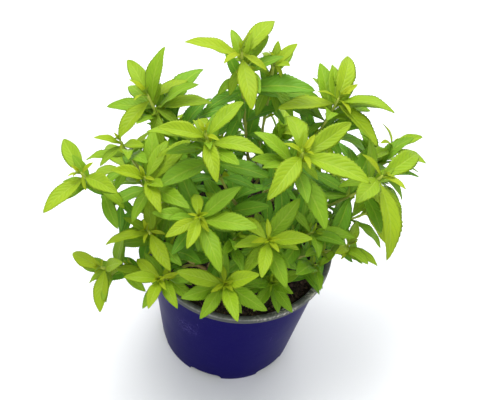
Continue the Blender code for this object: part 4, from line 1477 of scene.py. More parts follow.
@dataclass(frozen=True)
class LeafFinish(Finish):
    """A soft green leaf: yellow-green while young, with pale veins, puffed between them and satin.

    The shares say how strongly each colour shows where its mask is full.
    """

    young: Triple = (0.53, 0.61, 0.014)
    grown: Triple = (0.33, 0.53, 0.022)
    old: Triple = (0.185, 0.43, 0.03)
    vein: Triple = (0.48, 0.64, 0.06)
    underside: Triple = (0.4, 0.55, 0.1)
    shade: Triple = (0.16, 0.37, 0.02)
    shade_share: float = 0.24
    vein_share: float = 0.3
    rib_share: float = 0.5
    underside_share: float = 0.7
    rib_groove: float = 1.4
    fine_relief: float = 0.35
    relief_strength: float = 0.34
    relief_depth: float = 0.0005
    roughness: float = 0.44
    gloss: float = 0.22
    glow: float = 0.42

    def build(self, veins: NodeTree) -> Material:
        """The material, whose attributes age and tint are stored leaf by leaf.

        Args:
            veins: the group that draws the veins.

        Returns:
            The material.
        """
        material, sketch, shader = self.start()
        pattern = sketch.add("ShaderNodeGroup", {"Pairs": 9.0, "Slant": 2.6}, node_tree=veins)
        patches = self.patches(sketch, 120.0, 0.6)
        age = sketch.stored("age")
        tint = sketch.stored("tint")
        under = sketch.stored("under")
        colour = sketch.mix(sketch.span(age, 0.0, 0.5), self.young, self.grown)
        colour = sketch.mix(sketch.span(age, 0.5, 1.0), colour, self.old)
        uneven = sketch.times(patches.outputs["Mask"], self.shade_share)
        colour = sketch.mix(uneven, colour, self.shade)
        darker = sketch.times(tint, sketch.span(age, 0.15, 0.7, 0.15, 0.5))
        colour = sketch.mix(darker, colour, self.shade)
        vein, rib = pattern.outputs["Vein"], pattern.outputs["Rib"]
        colour = sketch.mix(sketch.times(vein, self.vein_share), colour, self.shade)
        colour = sketch.mix(sketch.times(rib, self.rib_share), colour, self.vein)
        colour = sketch.mix(sketch.times(under, self.underside_share), colour, self.underside)
        groove = sketch.times(rib, self.rib_groove)
        relief = sketch.math("SUBTRACT", pattern.outputs["Puff"], groove)
        relief = sketch.math("MULTIPLY_ADD", patches.outputs["Fine"], self.fine_relief, relief)
        normal = self.bump(sketch, relief, self.relief_strength, self.relief_depth)
        sketch.fill(shader, {"Base Color": colour, "Roughness": self.roughness, "Normal": normal,
                             "Specular IOR Level": self.gloss})
        lit = sketch.out("ShaderNodeBsdfTranslucent", {"Color": colour, "Normal": normal})
        both = sketch.out("ShaderNodeMixShader", {0: self.glow, 1: shader.outputs[0], 2: lit})
        sketch.tree.links.new(both, material.node_tree.nodes["Material Output"].inputs["Surface"])
        return material


@dataclass(frozen=True)
class StemFinish(Finish):
    """A thin stem, reddish brown low down and green near its crown."""

    base: Triple = (0.22, 0.11, 0.045)
    middle: Triple = (0.3, 0.31, 0.05)
    top: Triple = (0.42, 0.5, 0.06)
    unevenness: float = 0.16
    turns_green: float = 0.36
    roughness: float = 0.5

    def build(self) -> Material:
        """The material, whose attribute along runs from the seat to the crown.

        Returns:
            The material.
        """
        material, sketch, shader = self.start()
        along = sketch.stored("along")
        patches = self.patches(sketch, 260.0, 0.5)
        shifted = sketch.math("MULTIPLY_ADD", patches.outputs["Mask"], self.unevenness, along)
        colour = sketch.mix(sketch.span(shifted, 0.05, self.turns_green), self.base, self.middle)
        colour = sketch.mix(sketch.span(shifted, self.turns_green, 0.9), colour, self.top)
        normal = self.bump(sketch, patches.outputs["Fine"], 0.3, 0.0003)
        sketch.fill(shader, {"Base Color": colour, "Roughness": self.roughness, "Normal": normal})
        return material


@dataclass(frozen=True)
class BarkFinish(Finish):
    """Thin brown bark, streaked along the stem."""

    dark: Triple = (0.055, 0.028, 0.014)
    light: Triple = (0.2, 0.12, 0.06)
    streak_stretch: float = 0.18
    roughness: float = 0.82

    def build(self) -> Material:
        """The material.

        Returns:
            The material.
        """
        material, sketch, shader = self.start()
        place = sketch.place()
        stretch = {"Vector": place, "Scale": (1.0, 1.0, self.streak_stretch)}
        drawn = sketch.out("ShaderNodeMapping", stretch)
        streaks = sketch.noise(drawn, 900.0, 4.0)
        patches = self.patches(sketch, 220.0, 0.5)
        share = sketch.times(sketch.span(streaks, 0.38, 0.64), patches.outputs["Mask"])
        colour = sketch.mix(share, self.dark, self.light)
        normal = self.bump(sketch, streaks, 0.7, 0.0005)
        sketch.fill(shader, {"Base Color": colour, "Roughness": self.roughness, "Normal": normal})
        return material


@dataclass(frozen=True)
class PlasticFinish(Finish):
    """Smooth moulded plastic with fine scuffs, dust, dried lime and a paler crest, partly wear and
    partly a painted highlight.

    The rubbed patch has its place and reach in metres.
    """

    colour: Triple
    # The colour of the wear, and also of the painted highlight along the rim's crest.
    worn_and_highlight: Triple
    roughness: float
    scuffs: float
    gloss: float
    lime: Triple = (0.42, 0.4, 0.34)
    rubbed_place: Triple = (-0.027, -0.05, 0.066)
    rubbed_reach: float = 0.013
    rubbed_share: float = 0.5
    dulled_by_wear: float = 0.25
    dulled_in_patches: float = 0.09

    def rubbed(self, sketch: NodeSketch, place: Socket) -> Socket:
        """A mask of the thin tangled scratches where the pot was rubbed.

        Args:
            sketch: the material's sketch.
            place: the place on the object.

        Returns:
            The mask.
        """
        away = sketch.out("ShaderNodeVectorMath", {0: place, 1: self.rubbed_place}, socket="Value",
                          operation="DISTANCE")
        near = sketch.span(away, 0.3 * self.rubbed_reach, self.rubbed_reach, 1.0, 0.0)
        wave = sketch.add("ShaderNodeTexNoise", {"Vector": place, "Scale": 260.0, "Detail": 2.0})
        bent = sketch.scaled(wave.outputs["Color"], 0.008)
        bent = sketch.out("ShaderNodeVectorMath", {0: place, 1: bent}, operation="ADD")
        cells = {"Vector": bent, "Scale": 230.0}
        threads = sketch.out("ShaderNodeTexVoronoi", cells, feature="DISTANCE_TO_EDGE")
        return sketch.times(sketch.span(threads, 0.0, 0.06, 1.0, 0.0), near)

    def limy(
        self, sketch: NodeSketch, place: Socket, parts: bpy.types.Node
    ) -> Socket:
        """A mask of the dried lime on the crest and ledge, at the front on the right.

        Args:
            sketch: the material's sketch.
            place: the place on the object.
            parts: the node that gives its X, Y and Z.

        Returns:
            The mask.
        """
        aslant = sketch.math("SUBTRACT", parts.outputs[0], parts.outputs[1])
        side = sketch.span(aslant, 1.12 * RIM_RADIUS * MM, 1.36 * RIM_RADIUS * MM)
        high = sketch.span(parts.outputs[2], (POT_HEIGHT - 2.6) * MM, (POT_HEIGHT - 1.2) * MM)
        spots = sketch.noise(place, 560.0, 5.0)
        broad = sketch.noise(place, 110.0, 2.0)
        spots = sketch.times(sketch.span(spots, 0.46, 0.58), sketch.span(broad, 0.44, 0.58))
        return sketch.times(sketch.times(side, high), spots)

    def build(self) -> Material:
        """The material.

        Returns:
            The material.
        """
        material, sketch, shader = self.start()
        place = sketch.place()
        parts = sketch.add("ShaderNodeSeparateXYZ", {0: place})
        patches = self.patches(sketch, 26.0, 0.5)
        specks = self.patches(sketch, 420.0, 0.35)
        stretch = {"Vector": place, "Scale": (1.0, 1.0, 0.1), "Rotation": (0.25, 0.3, 0.0)}
        drawn = sketch.out("ShaderNodeMapping", stretch)
        scratches = sketch.noise(drawn, 420.0, 2.0)
        lines = sketch.times(sketch.span(scratches, 0.715, 0.8), patches.outputs["Mask"])
        dots = sketch.span(specks.outputs["Fine"], 0.68, 0.75)
        # Painted highlight: the top of the rim's crest is painted paler, partly as worn plastic and
        # partly as the light along the lip.
        crest = sketch.span(parts.outputs[2], (POT_HEIGHT - 0.9) * MM, POT_HEIGHT * MM)
        crest = sketch.times(crest, sketch.span(specks.outputs["Mask"], 0.0, 1.0, 0.35, 1.0))
        foot = sketch.span(parts.outputs[2], 0.0, 1.6 * MM, 0.7, 0.0)
        wear_and_highlight = sketch.math("MAXIMUM", sketch.math("MAXIMUM", crest, foot),
                           sketch.times(sketch.math("MAXIMUM", lines, dots), self.scuffs))
        rubbed = sketch.times(self.rubbed(sketch, place), self.rubbed_share)
        wear_and_highlight = sketch.math("MAXIMUM", wear_and_highlight, rubbed)
        # Mixes in the worn colour where there is wear and where the crest's painted highlight lies.
        colour = sketch.mix(wear_and_highlight, self.colour, self.worn_and_highlight)
        colour = sketch.mix(self.limy(sketch, place, parts), colour, self.lime)
        patchy = patches.outputs["Mask"]
        rough = sketch.math("MULTIPLY_ADD", patchy, self.dulled_in_patches, self.roughness)
        rough = sketch.math("MULTIPLY_ADD", wear_and_highlight, self.dulled_by_wear, rough)
        normal = self.bump(sketch, patches.outputs["Fine"], 0.12, 0.0006)
        sketch.fill(shader, {"Base Color": colour, "Roughness": rough, "Normal": normal,
                             "Specular IOR Level": self.gloss})
        return material


@dataclass(frozen=True)
class EarthFinish(Finish):
    """Dark damp peat, and the crumbs and fibres in it."""

    dark: Triple
    light: Triple
    roughness: float = 0.92

    def build(self) -> Material:
        """The material, whose attribute tint is stored crumb by crumb.

        Returns:
            The material.
        """
        material, sketch, shader = self.start()
        patches = self.patches(sketch, 160.0, 0.4)
        tint = sketch.stored("tint")
        share = sketch.times(patches.outputs["Mask"], 0.35)
        share = sketch.math("ADD", share, tint)
        colour = sketch.mix(share, self.dark, self.light)
        normal = self.bump(sketch, patches.outputs["Fine"], 0.9, 0.0012)
        sketch.fill(shader, {"Base Color": colour, "Roughness": self.roughness, "Normal": normal})
        return material


@dataclass
class Palette:
    """Every finish of the object, built once."""

    leaf: Material = field(init=False)
    stem: Material = field(init=False)
    bark: Material = field(init=False)
    outside: Material = field(init=False)
    inside: Material = field(init=False)
    earth: Material = field(init=False)
    crumb: Material = field(init=False)
    fibre: Material = field(init=False)

    def __post_init__(self) -> None:
        """Builds them all."""
        mottle = mottle_group()
        self.leaf = LeafFinish("verbena_leaf", mottle).build(vein_group())
        self.stem = StemFinish("green_stem", mottle).build()
        self.bark = BarkFinish("brown_bark", mottle).build()
        blue = PlasticFinish(
            "blue_plastic", mottle, colour=(0.003, 0.0008, 0.07), worn_and_highlight=(0.12, 0.1, 0.3),
            roughness=0.3, scuffs=0.55, gloss=0.015,
        )
        # Its worn colour also paints the highlight along the rim's crest.
        black = PlasticFinish(
            "black_plastic", mottle, colour=(0.05, 0.055, 0.051), worn_and_highlight=(0.3, 0.3, 0.29),
            roughness=0.42, scuffs=0.6, gloss=0.25,
        )
        peat = EarthFinish("dark_peat", mottle, dark=(0.011, 0.006, 0.004), light=(0.075, 0.036, 0.022))
        crumb = EarthFinish("peat_crumb", mottle, dark=(0.012, 0.007, 0.004), light=(0.2, 0.115, 0.075))
        fibre = EarthFinish("peat_fibre", mottle, dark=(0.13, 0.06, 0.042), light=(0.36, 0.22, 0.15))
        self.outside, self.inside = blue.build(), black.build()
        self.earth, self.crumb, self.fibre = peat.build(), crumb.build(), fibre.build()


def mesh_of(cage: bmesh.types.BMesh, name: str) -> Mesh:
    """The mesh of a cage, which it frees.

    Args:
        cage: the cage.
        name: the mesh's name.

    Returns:
        The mesh.
    """
    mesh = bpy.data.meshes.new(name)
    cage.to_mesh(mesh)
    cage.free()
    return mesh


def linked(name: str, data: bpy.types.ID) -> bpy.types.Object:
    """Stands a new object in the scene.

    Args:
        name: its name.
        data: what it shows.

    Returns:
        The object.
    """
    made = bpy.data.objects.new(name, data)
    bpy.context.scene.collection.objects.link(made)
    return made


def finished_mesh(guide: bpy.types.Object) -> Mesh:
    """What an object's modifiers or its curve make.

    Args:
        guide: the object.

    Returns:
        The plain mesh.
    """
    bpy.context.view_layer.update()
    graph = bpy.context.evaluated_depsgraph_get()
    return bpy.data.meshes.new_from_object(guide.evaluated_get(graph))


def run_tree(
    name: str, mesh: Mesh, tree: NodeTree, values: dict
) -> bpy.types.Object:
    """Runs a geometry node tree on a mesh and keeps the plain mesh that it makes.

    Args:
        name: the name of the finished object.
        mesh: what the tree starts from.
        tree: the node tree.
        values: each named input with its value.

    Returns:
        The finished object, with no modifier.
    """
    guide = linked(name + "_guide", mesh)
    step = guide.modifiers.new("grow", "NODES")
    step.node_group = tree
    items = tree.interface.items_tree
    sockets = {item.name: item.identifier for item in items if item.in_out == "INPUT"}
    for label, value in values.items():
        step[sockets[label]] = value
    made = finished_mesh(guide)
    bpy.data.objects.remove(guide, do_unlink=True)
    made.name = name
    return linked(name, made)


def keep_in_box(mesh: Mesh) -> None:
    """Holds the points of a mesh, such as a leaf's outermost teeth, inside the solids' own box.

    Args:
        mesh: the mesh.
    """
    places = np.empty(3 * len(mesh.vertices), np.float32)
    mesh.vertices.foreach_get("co", places)
    held = np.clip(places.reshape(-1, 3), CAD_BOX[0], CAD_BOX[1])
    mesh.vertices.foreach_set("co", held.ravel())
    mesh.update()


def settle_piece(piece: bpy.types.Object, nodes: tuple[str, ...] = ()) -> None:
    """Makes a piece ride on the plant's body, in place of the solids that it stands for.

    Args:
        piece: the finished piece.
        nodes: the solids that it replaces.
    """
    keep_in_box(piece.data)
    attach(piece, BODY)
    if nodes:
        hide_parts(*nodes)
    LOG.info("%s: %d faces", piece.name, len(piece.data.polygons))


def shoot_tree() -> NodeTree:
    """The tree that grows a leafy shoot from a line for its stem and a point for each leaf's root.

    Returns:
        The tree.
    """
    sketch, given, made = node_group(
        "leafy_shoot", "GeometryNodeTree",
        {
            "Guide": ("NodeSocketGeometry", None),
            "Blades": ("NodeSocketCollection", None),
            "Stem Sides": ("NodeSocketInt", 10),
            "Ripple": ("NodeSocketFloat", 0.001),
            "Leaf Finish": ("NodeSocketMaterial", None),
            "Stem Finish": ("NodeSocketMaterial", None),
        },
        {"Shoot": "NodeSocketGeometry"},
    )
    is_leaf = sketch.named("is_leaf", "BOOLEAN")
    split = {"Geometry": given["Guide"], "Selection": is_leaf}
    parts = sketch.add("GeometryNodeSeparateGeometry", split)
    blades = sketch.out("GeometryNodeCollectionInfo", {
        "Collection": given["Blades"], "Separate Children": True, "Reset Children": True})
    leaves = sketch.out("GeometryNodeInstanceOnPoints", {
        "Points": parts.outputs["Selection"], "Instance": blades, "Pick Instance": True,
        "Instance Index": sketch.named("form", "INT"),
        "Rotation": sketch.named("turn", "FLOAT_VECTOR"),
        "Scale": sketch.named("length", "FLOAT"),
    })
    leaves = sketch.out("GeometryNodeRealizeInstances", {0: leaves})
    place = sketch.out("GeometryNodeInputPosition")
    drift = sketch.add("ShaderNodeTexNoise", {"Vector": place, "Scale": 70.0, "Detail": 1.0})
    shift = sketch.centred(drift)
    shift = sketch.scaled(shift, given["Ripple"])
    leaves = sketch.out("GeometryNodeSetPosition", {"Geometry": leaves, "Offset": shift})
    leaves = sketch.out("GeometryNodeSetMaterial", {
        "Geometry": leaves, "Material": given["Leaf Finish"]})
    stem = sketch.out("GeometryNodeMeshToCurve", {"Mesh": parts.outputs["Inverted"]})
    ring = sketch.out("GeometryNodeCurvePrimitiveCircle", {
        "Resolution": given["Stem Sides"], "Radius": MM})
    girth = sketch.named("girth", "FLOAT")
    stem = sketch.out("GeometryNodeCurveToMesh", {"Curve": stem, "Profile Curve": ring, "Scale": girth,
                                                  "Fill Caps": True})
    stem = sketch.out("GeometryNodeSetMaterial", {"Geometry": stem, "Material": given["Stem Finish"]})
    whole = sketch.add("GeometryNodeJoinGeometry")
    sketch.tree.links.new(stem, whole.inputs[0])
    sketch.tree.links.new(leaves, whole.inputs[0])
    sketch.tree.links.new(whole.outputs[0], made["Shoot"])
    return sketch.tree


@dataclass
class LeafyShoots:
    """The leafy shoots: stems with knuckles at their whorls, toothed leaves and a tuft at each crown."""

    palette: Palette
    planting: Planting
    stem_points: int = 33
    stem_sides: int = 10
    knuckle: float = 0.28
    knuckle_reach: float = 1.3
    ripple: float = 0.0011
    seed: int = 7
    blades: bpy.types.Collection = field(init=False)
    tree: NodeTree = field(init=False)

    def build(self) -> None:
        """Builds every shoot."""
        self.blades = bpy.data.collections.new("leaf_blades")
        for form, shape in BLADES.items():
            mesh = Blade(form, shape).mesh()
            self.blades.objects.link(bpy.data.objects.new(mesh.name, mesh))
        self.tree = shoot_tree()
        rng = random.Random(self.seed)
        for shoot in self.planting.shoots:
            self.build_shoot(shoot, rng)
        for blade in list(self.blades.objects):
            bpy.data.objects.remove(blade, do_unlink=True)
        bpy.data.collections.remove(self.blades)

    def build_shoot(self, shoot: Shoot, rng: random.Random) -> None:
        """Builds one shoot.

        Args:
            shoot: its place and leaves.
            rng: the draw for what differs from leaf to leaf.
        """
        guide = bpy.data.meshes.new(shoot.name + "_guide")
        line = shoot.smooth_path(self.stem_points)
        line.append(line[-1] + shoot.heading(1) * BUD_LENGTH)
        leaves = [*shoot.leaves, *shoot.tufts]
        roots = [min(line[:-1], key=lambda p, leaf=leaf: (p - leaf.root).length) for leaf in leaves]
        inner = [leaf.small and not leaf.young for leaf in leaves]
        roots = [leaf.root if tuft else root for leaf, root, tuft in zip(leaves, roots, inner)]
        points = [p * MM for p in line] + [p * MM for p in roots]
        guide.from_pydata(points, [(i, i + 1) for i in range(len(line) - 1)], [])
        count, stem_count = len(points), len(line)
        girths = self.girths(shoot, line, roots)
        along = [min(i / (stem_count - 1), 1) for i in range(stem_count)]
        values = {
            ("is_leaf", "BOOLEAN"): [i >= stem_count for i in range(count)],
            ("girth", "FLOAT"): girths + [0.0] * len(leaves),
            ("along", "FLOAT"): along + [1.0] * len(leaves),
            ("form", "INT"): [0] * stem_count + [self.form(leaf, rng).value for leaf in leaves],
            ("length", "FLOAT"): [0.0] * stem_count + [leaf.frame()[0].length * MM for leaf in leaves],
            ("age", "FLOAT"): [0.0] * stem_count + [self.age(leaf, shoot, rng) for leaf in leaves],
            ("tint", "FLOAT"): [0.0] * stem_count + [rng.random() ** 2 for _ in leaves],
        }
        for (name, kind), numbers in values.items():
            guide.attributes.new(name, kind, "POINT").data.foreach_set("value", numbers)
        turns = [(0.0, 0.0, 0.0)] * stem_count + [self.turn(leaf, rng) for leaf in leaves]
        guide.attributes.new("turn", "FLOAT_VECTOR", "POINT").data.foreach_set(
            "vector", [number for turn_by in turns for number in turn_by])
        piece = run_tree("leafy_shoot_" + shoot.name, guide, self.tree, {
            "Blades": self.blades, "Stem Sides": self.stem_sides, "Ripple": self.ripple,
            "Leaf Finish": self.palette.leaf, "Stem Finish": self.palette.stem,
        })
        piece.data.shade_smooth()
        settle_piece(piece, ("shoot_" + shoot.name,))

    def girths(self, shoot: Shoot, line: list[Vector], roots: list[Vector]) -> list[float]:
        """The stem's radius at each point of its line, with a knuckle at each whorl.

        Args:
            shoot: the shoot; not used.
            line: the points of the stem.
            roots: where its leaves start.

        Returns:
            The radii.
        """
        slope = STEM_TIP_RADIUS - STEM_SEAT_RADIUS
        girths = []
        for i, point in enumerate(line[:-1]):
            radius = STEM_SEAT_RADIUS + slope * i / (len(line) - 2)
            near = min(((point - root).length for root in roots), default=99.0)
            girths.append(radius + self.knuckle * max(1 - near / self.knuckle_reach, 0))
        return [*girths, BUD_RADIUS * 0.6]

    def form(self, leaf: Leaf, rng: random.Random) -> LeafForm:
        """The form that a leaf takes.

        Args:
            leaf: the leaf.
            rng: the draw.

        Returns:
            The form.
        """
        if leaf.small:
            return LeafForm.SMALL if leaf.young else LeafForm.TUFT
        if not leaf.young:
            return rng.choice((LeafForm.OLD, LeafForm.DROOPING, LeafForm.FLAT))
        return rng.choice((LeafForm.FLAT, LeafForm.DROOPING, LeafForm.TWISTED, LeafForm.CUPPED))

    def age(self, leaf: Leaf, shoot: Shoot, rng: random.Random) -> float:
        """How old a leaf is.

        Args:
            leaf: the leaf.
            shoot: the shoot that it grows on.
            rng: the draw.

        Returns:
            Its age, from 0 in the crown to 1 low on the stem.
        """
        greener = GREENER_BY if shoot.name in GREENER else 0.0
        if leaf.small:
            return greener + rng.uniform(*NEWEST_AGES)
        down = (shoot.path[-1] - leaf.root).length
        age = WHORL_AGE + greener + down / AGEING_LENGTH + rng.uniform(-AGE_WAVER, AGE_WAVER)
        return min(age, 1.0)

    def turn(self, leaf: Leaf, rng: random.Random) -> Triple:
        """The turn that lays a blade along its leaf.

        Args:
            leaf: the leaf.
            rng: the draw for its lean.

        Returns:
            The turn, as Euler angles.
        """
        chord, side, face = leaf.frame()
        ahead = chord.normalized()
        if leaf.young and not leaf.small:
            face = face + self.planting.sight.axes()[2] * TOWARDS_LIGHT
            face = (face - ahead * face.dot(ahead)).normalized()
            side = ahead.cross(face)
        lean = Matrix.Rotation(math.radians(rng.uniform(-MOST_LEAN, MOST_LEAN)), 3, ahead)
        matrix = Matrix((ahead, -(lean @ side), lean @ face)).transposed()
        return tuple(matrix.to_euler("XYZ"))


@dataclass
class NurseryPot:
    """The plastic pot: blue outside, black inside and on its ledged rim."""

    palette: Palette
    steps: int = 144
    notch_depth: float = 14.0
    notch_rounding: float = 3.5
    wall_heights: tuple[float, ...] = (80.0, 55.0, 30.0, 12.0, 7.5)

    def build(self) -> None:
        """Builds the pot with its notches and drain holes."""
        mesh = bpy.data.meshes.new("nursery_pot")
        crest = RIM_RADIUS - 0.9
        ledge = RIM_RADIUS - RIM_LEDGE
        below = POT_HEIGHT - 6.5
        lip = POT_HEIGHT - LIP_HEIGHT
        profile = [
            (0, FLOOR_TOP), (wall_radius(FLOOR_TOP) - WALL - 1.5, FLOOR_TOP),
            (wall_radius(FLOOR_TOP) - WALL, FLOOR_TOP + 1.5), (wall_radius(below) - WALL, below),
            (ledge - 0.5, POT_HEIGHT - 3.4), (ledge, POT_HEIGHT - 2.6), (ledge + 0.1, POT_HEIGHT - 1.6),
            (ledge + 0.5, POT_HEIGHT - 1.05), (ledge + 1.2, POT_HEIGHT - 0.85),
            (crest - 0.5, POT_HEIGHT - 0.2), (crest, POT_HEIGHT), (crest + 0.4, POT_HEIGHT - 0.06),
            (RIM_RADIUS - 0.15, POT_HEIGHT - 0.4), (RIM_RADIUS, POT_HEIGHT - 0.9),
            (RIM_RADIUS - 0.15, lip + 0.3), (RIM_RADIUS - 0.4, lip), (wall_radius(lip), lip),
            *[(wall_radius(height), height) for height in self.wall_heights],
            (wall_radius(1.6), 1.6), (FOOT_RADIUS - 0.1, 0.5), (FOOT_RADIUS - 0.6, 0),
            (FOOT_RADIUS - FOOT_RING + 0.3, 0), (FOOT_RADIUS - FOOT_RING, 0.4),
            (FOOT_RADIUS - FOOT_RING + 0.4, FLOOR_UNDERSIDE), (0, FLOOR_UNDERSIDE),
        ]
        points = [(radius * MM, 0, height * MM) for radius, height in profile]
        mesh.from_pydata(points, [(i, i + 1) for i in range(len(points) - 1)], [])
        pot = linked("nursery_pot", mesh)
        turning = pot.modifiers.new("turn", "SCREW")
        turning.steps = turning.render_steps = self.steps
        turning.use_merge_vertices = True
        turning.merge_threshold = 1e-5
        cutters = self.cutters()
        cutting = pot.modifiers.new("cut", "BOOLEAN")
        cutting.operand_type = "COLLECTION"
        cutting.collection = cutters
        cutting.solver = "EXACT"
        done = finished_mesh(pot)
        pot.modifiers.clear()
        pot.data = done
        for cutter in list(cutters.objects):
            bpy.data.objects.remove(cutter, do_unlink=True)
        bpy.data.collections.remove(cutters)
        self.paint(done)
        settle_piece(pot, ("pot",))

    def cutters(self) -> bpy.types.Collection:
        """The cutters for the notches of the foot and the drain holes.

        Returns:
            The collection that holds them.
        """
        cutters = bpy.data.collections.new("pot_cutters")
        bpy.context.scene.collection.children.link(cutters)
        for i in range(NOTCH_COUNT):
            angle = math.radians(NOTCH_FIRST_ANGLE - 90 + 360 / NOTCH_COUNT * i)
            cage = bmesh.new()
            bmesh.ops.create_cube(cage, size=1)
            size = Vector((self.notch_depth, NOTCH_WIDTH, 2 * NOTCH_HEIGHT)) * MM
            bmesh.ops.scale(cage, vec=size, verts=cage.verts)
            bmesh.ops.bevel(cage, geom=cage.edges, offset=self.notch_rounding * MM, segments=4,
                            affect="EDGES", profile=0.5)
            spin = Matrix.Rotation(angle, 4, "Z")
            out = Vector((math.cos(angle), math.sin(angle), 0))
            cage.transform(Matrix.Translation(out * FOOT_RADIUS * MM) @ spin)
            self.add_cutter(f"notch_{i}", cage, cutters)
            cage = bmesh.new()
            bmesh.ops.create_cone(cage, cap_ends=True, segments=28, radius1=DRAIN_RADIUS * MM,
                                  radius2=DRAIN_RADIUS * MM, depth=8 * MM)
            cage.transform(Matrix.Translation((out * DRAIN_CIRCLE + UP * FLOOR_UNDERSIDE) * MM))
            self.add_cutter(f"drain_{i}", cage, cutters)
        return cutters

    def add_cutter(self, name: str, cage: bmesh.types.BMesh, cutters: bpy.types.Collection) -> None:
        """Adds one cutter from its cage, which it frees."""
        cutters.objects.link(bpy.data.objects.new(name, mesh_of(cage, name)))

    def paint(self, mesh: Mesh) -> None:
        """Makes the wall and foot blue outside, and the rest black.

        Args:
            mesh: the pot's mesh.
        """
        mesh.materials.clear()
        mesh.materials.append(self.palette.outside)
        mesh.materials.append(self.palette.inside)
        top = (POT_HEIGHT - LIP_HEIGHT + 0.02) * MM
        for face in mesh.polygons:
            x, y, z = face.center
            reach = math.hypot(x, y)
            outside = z < top and reach > (wall_radius(z / MM) - WALL / 2) * MM
            face.material_index = 0 if outside else 1
        mesh.shade_smooth()
        mesh.set_sharp_from_angle(angle=math.radians(35))


def wall_radius(height: float) -> float:
    """The outside of the pot's tapered wall at a height."""
    return FOOT_RADIUS + (WALL_TOP_RADIUS - FOOT_RADIUS) * height / (POT_HEIGHT - LIP_HEIGHT)


def crumb_tree() -> NodeTree:
    """The tree that scatters crumbs over a surface.

    Returns:
        The tree.
    """
    sketch, given, made = node_group(
        "scattered_crumbs", "GeometryNodeTree",
        {
            "Ground": ("NodeSocketGeometry", None),
            "Density": ("NodeSocketFloat", 90000.0),
            "Smallest": ("NodeSocketFloat", 0.0004),
            "Largest": ("NodeSocketFloat", 0.0014),
            "Pale": ("NodeSocketFloat", 0.5),
            "Stretch": ("NodeSocketFloat", 1.0),
            "Seed": ("NodeSocketInt", 3),
            "Finish": ("NodeSocketMaterial", None),
        },
        {"Crumbs": "NodeSocketGeometry"},
    )
    points = sketch.add("GeometryNodeDistributePointsOnFaces", {
        "Mesh": given["Ground"], "Density": given["Density"], "Seed": given["Seed"]})
    draw = "FunctionNodeRandomValue"
    sizes = {2: given["Smallest"], 3: given["Largest"], "Seed": 11}
    size = sketch.out(draw, sizes, socket=1, data_type="FLOAT")
    any_turn = {0: (0, 0, 0), 1: (6.28, 6.28, 6.28), "Seed": 12}
    turns = sketch.out(draw, any_turn, data_type="FLOAT_VECTOR")
    tint = sketch.out(draw, {2: 0.0, 3: 1.0, "Seed": 13}, socket=1, data_type="FLOAT")
    tint = sketch.times(sketch.math("POWER", tint, 5.0), given["Pale"])
    mark = {"Geometry": points.outputs["Points"], "Name": "tint", "Value": tint}
    marked = sketch.add("GeometryNodeStoreNamedAttribute", mark, data_type="FLOAT", domain="POINT")
    rock = sketch.out("GeometryNodeMeshIcoSphere", {"Radius": 1.0, "Subdivisions": 2})
    bumps = sketch.add("ShaderNodeTexNoise", {"Scale": 1.3, "Detail": 2.0})
    push = sketch.centred(bumps)
    push = sketch.scaled(push, 1.6)
    rock = sketch.out("GeometryNodeSetPosition", {"Geometry": rock, "Offset": push})
    long_scale = sketch.out("ShaderNodeCombineXYZ", {0: given["Stretch"], 1: 1.0, 2: 0.75})
    scale = sketch.scaled(long_scale, size)
    rocks = sketch.out("GeometryNodeInstanceOnPoints", {"Points": marked.outputs[0], "Instance": rock,
                                                        "Rotation": turns, "Scale": scale})
    rocks = sketch.out("GeometryNodeRealizeInstances", {0: rocks})
    rocks = sketch.out("GeometryNodeSetMaterial", {"Geometry": rocks, "Material": given["Finish"]})
    sketch.tree.links.new(rocks, made["Crumbs"])
    return sketch.tree


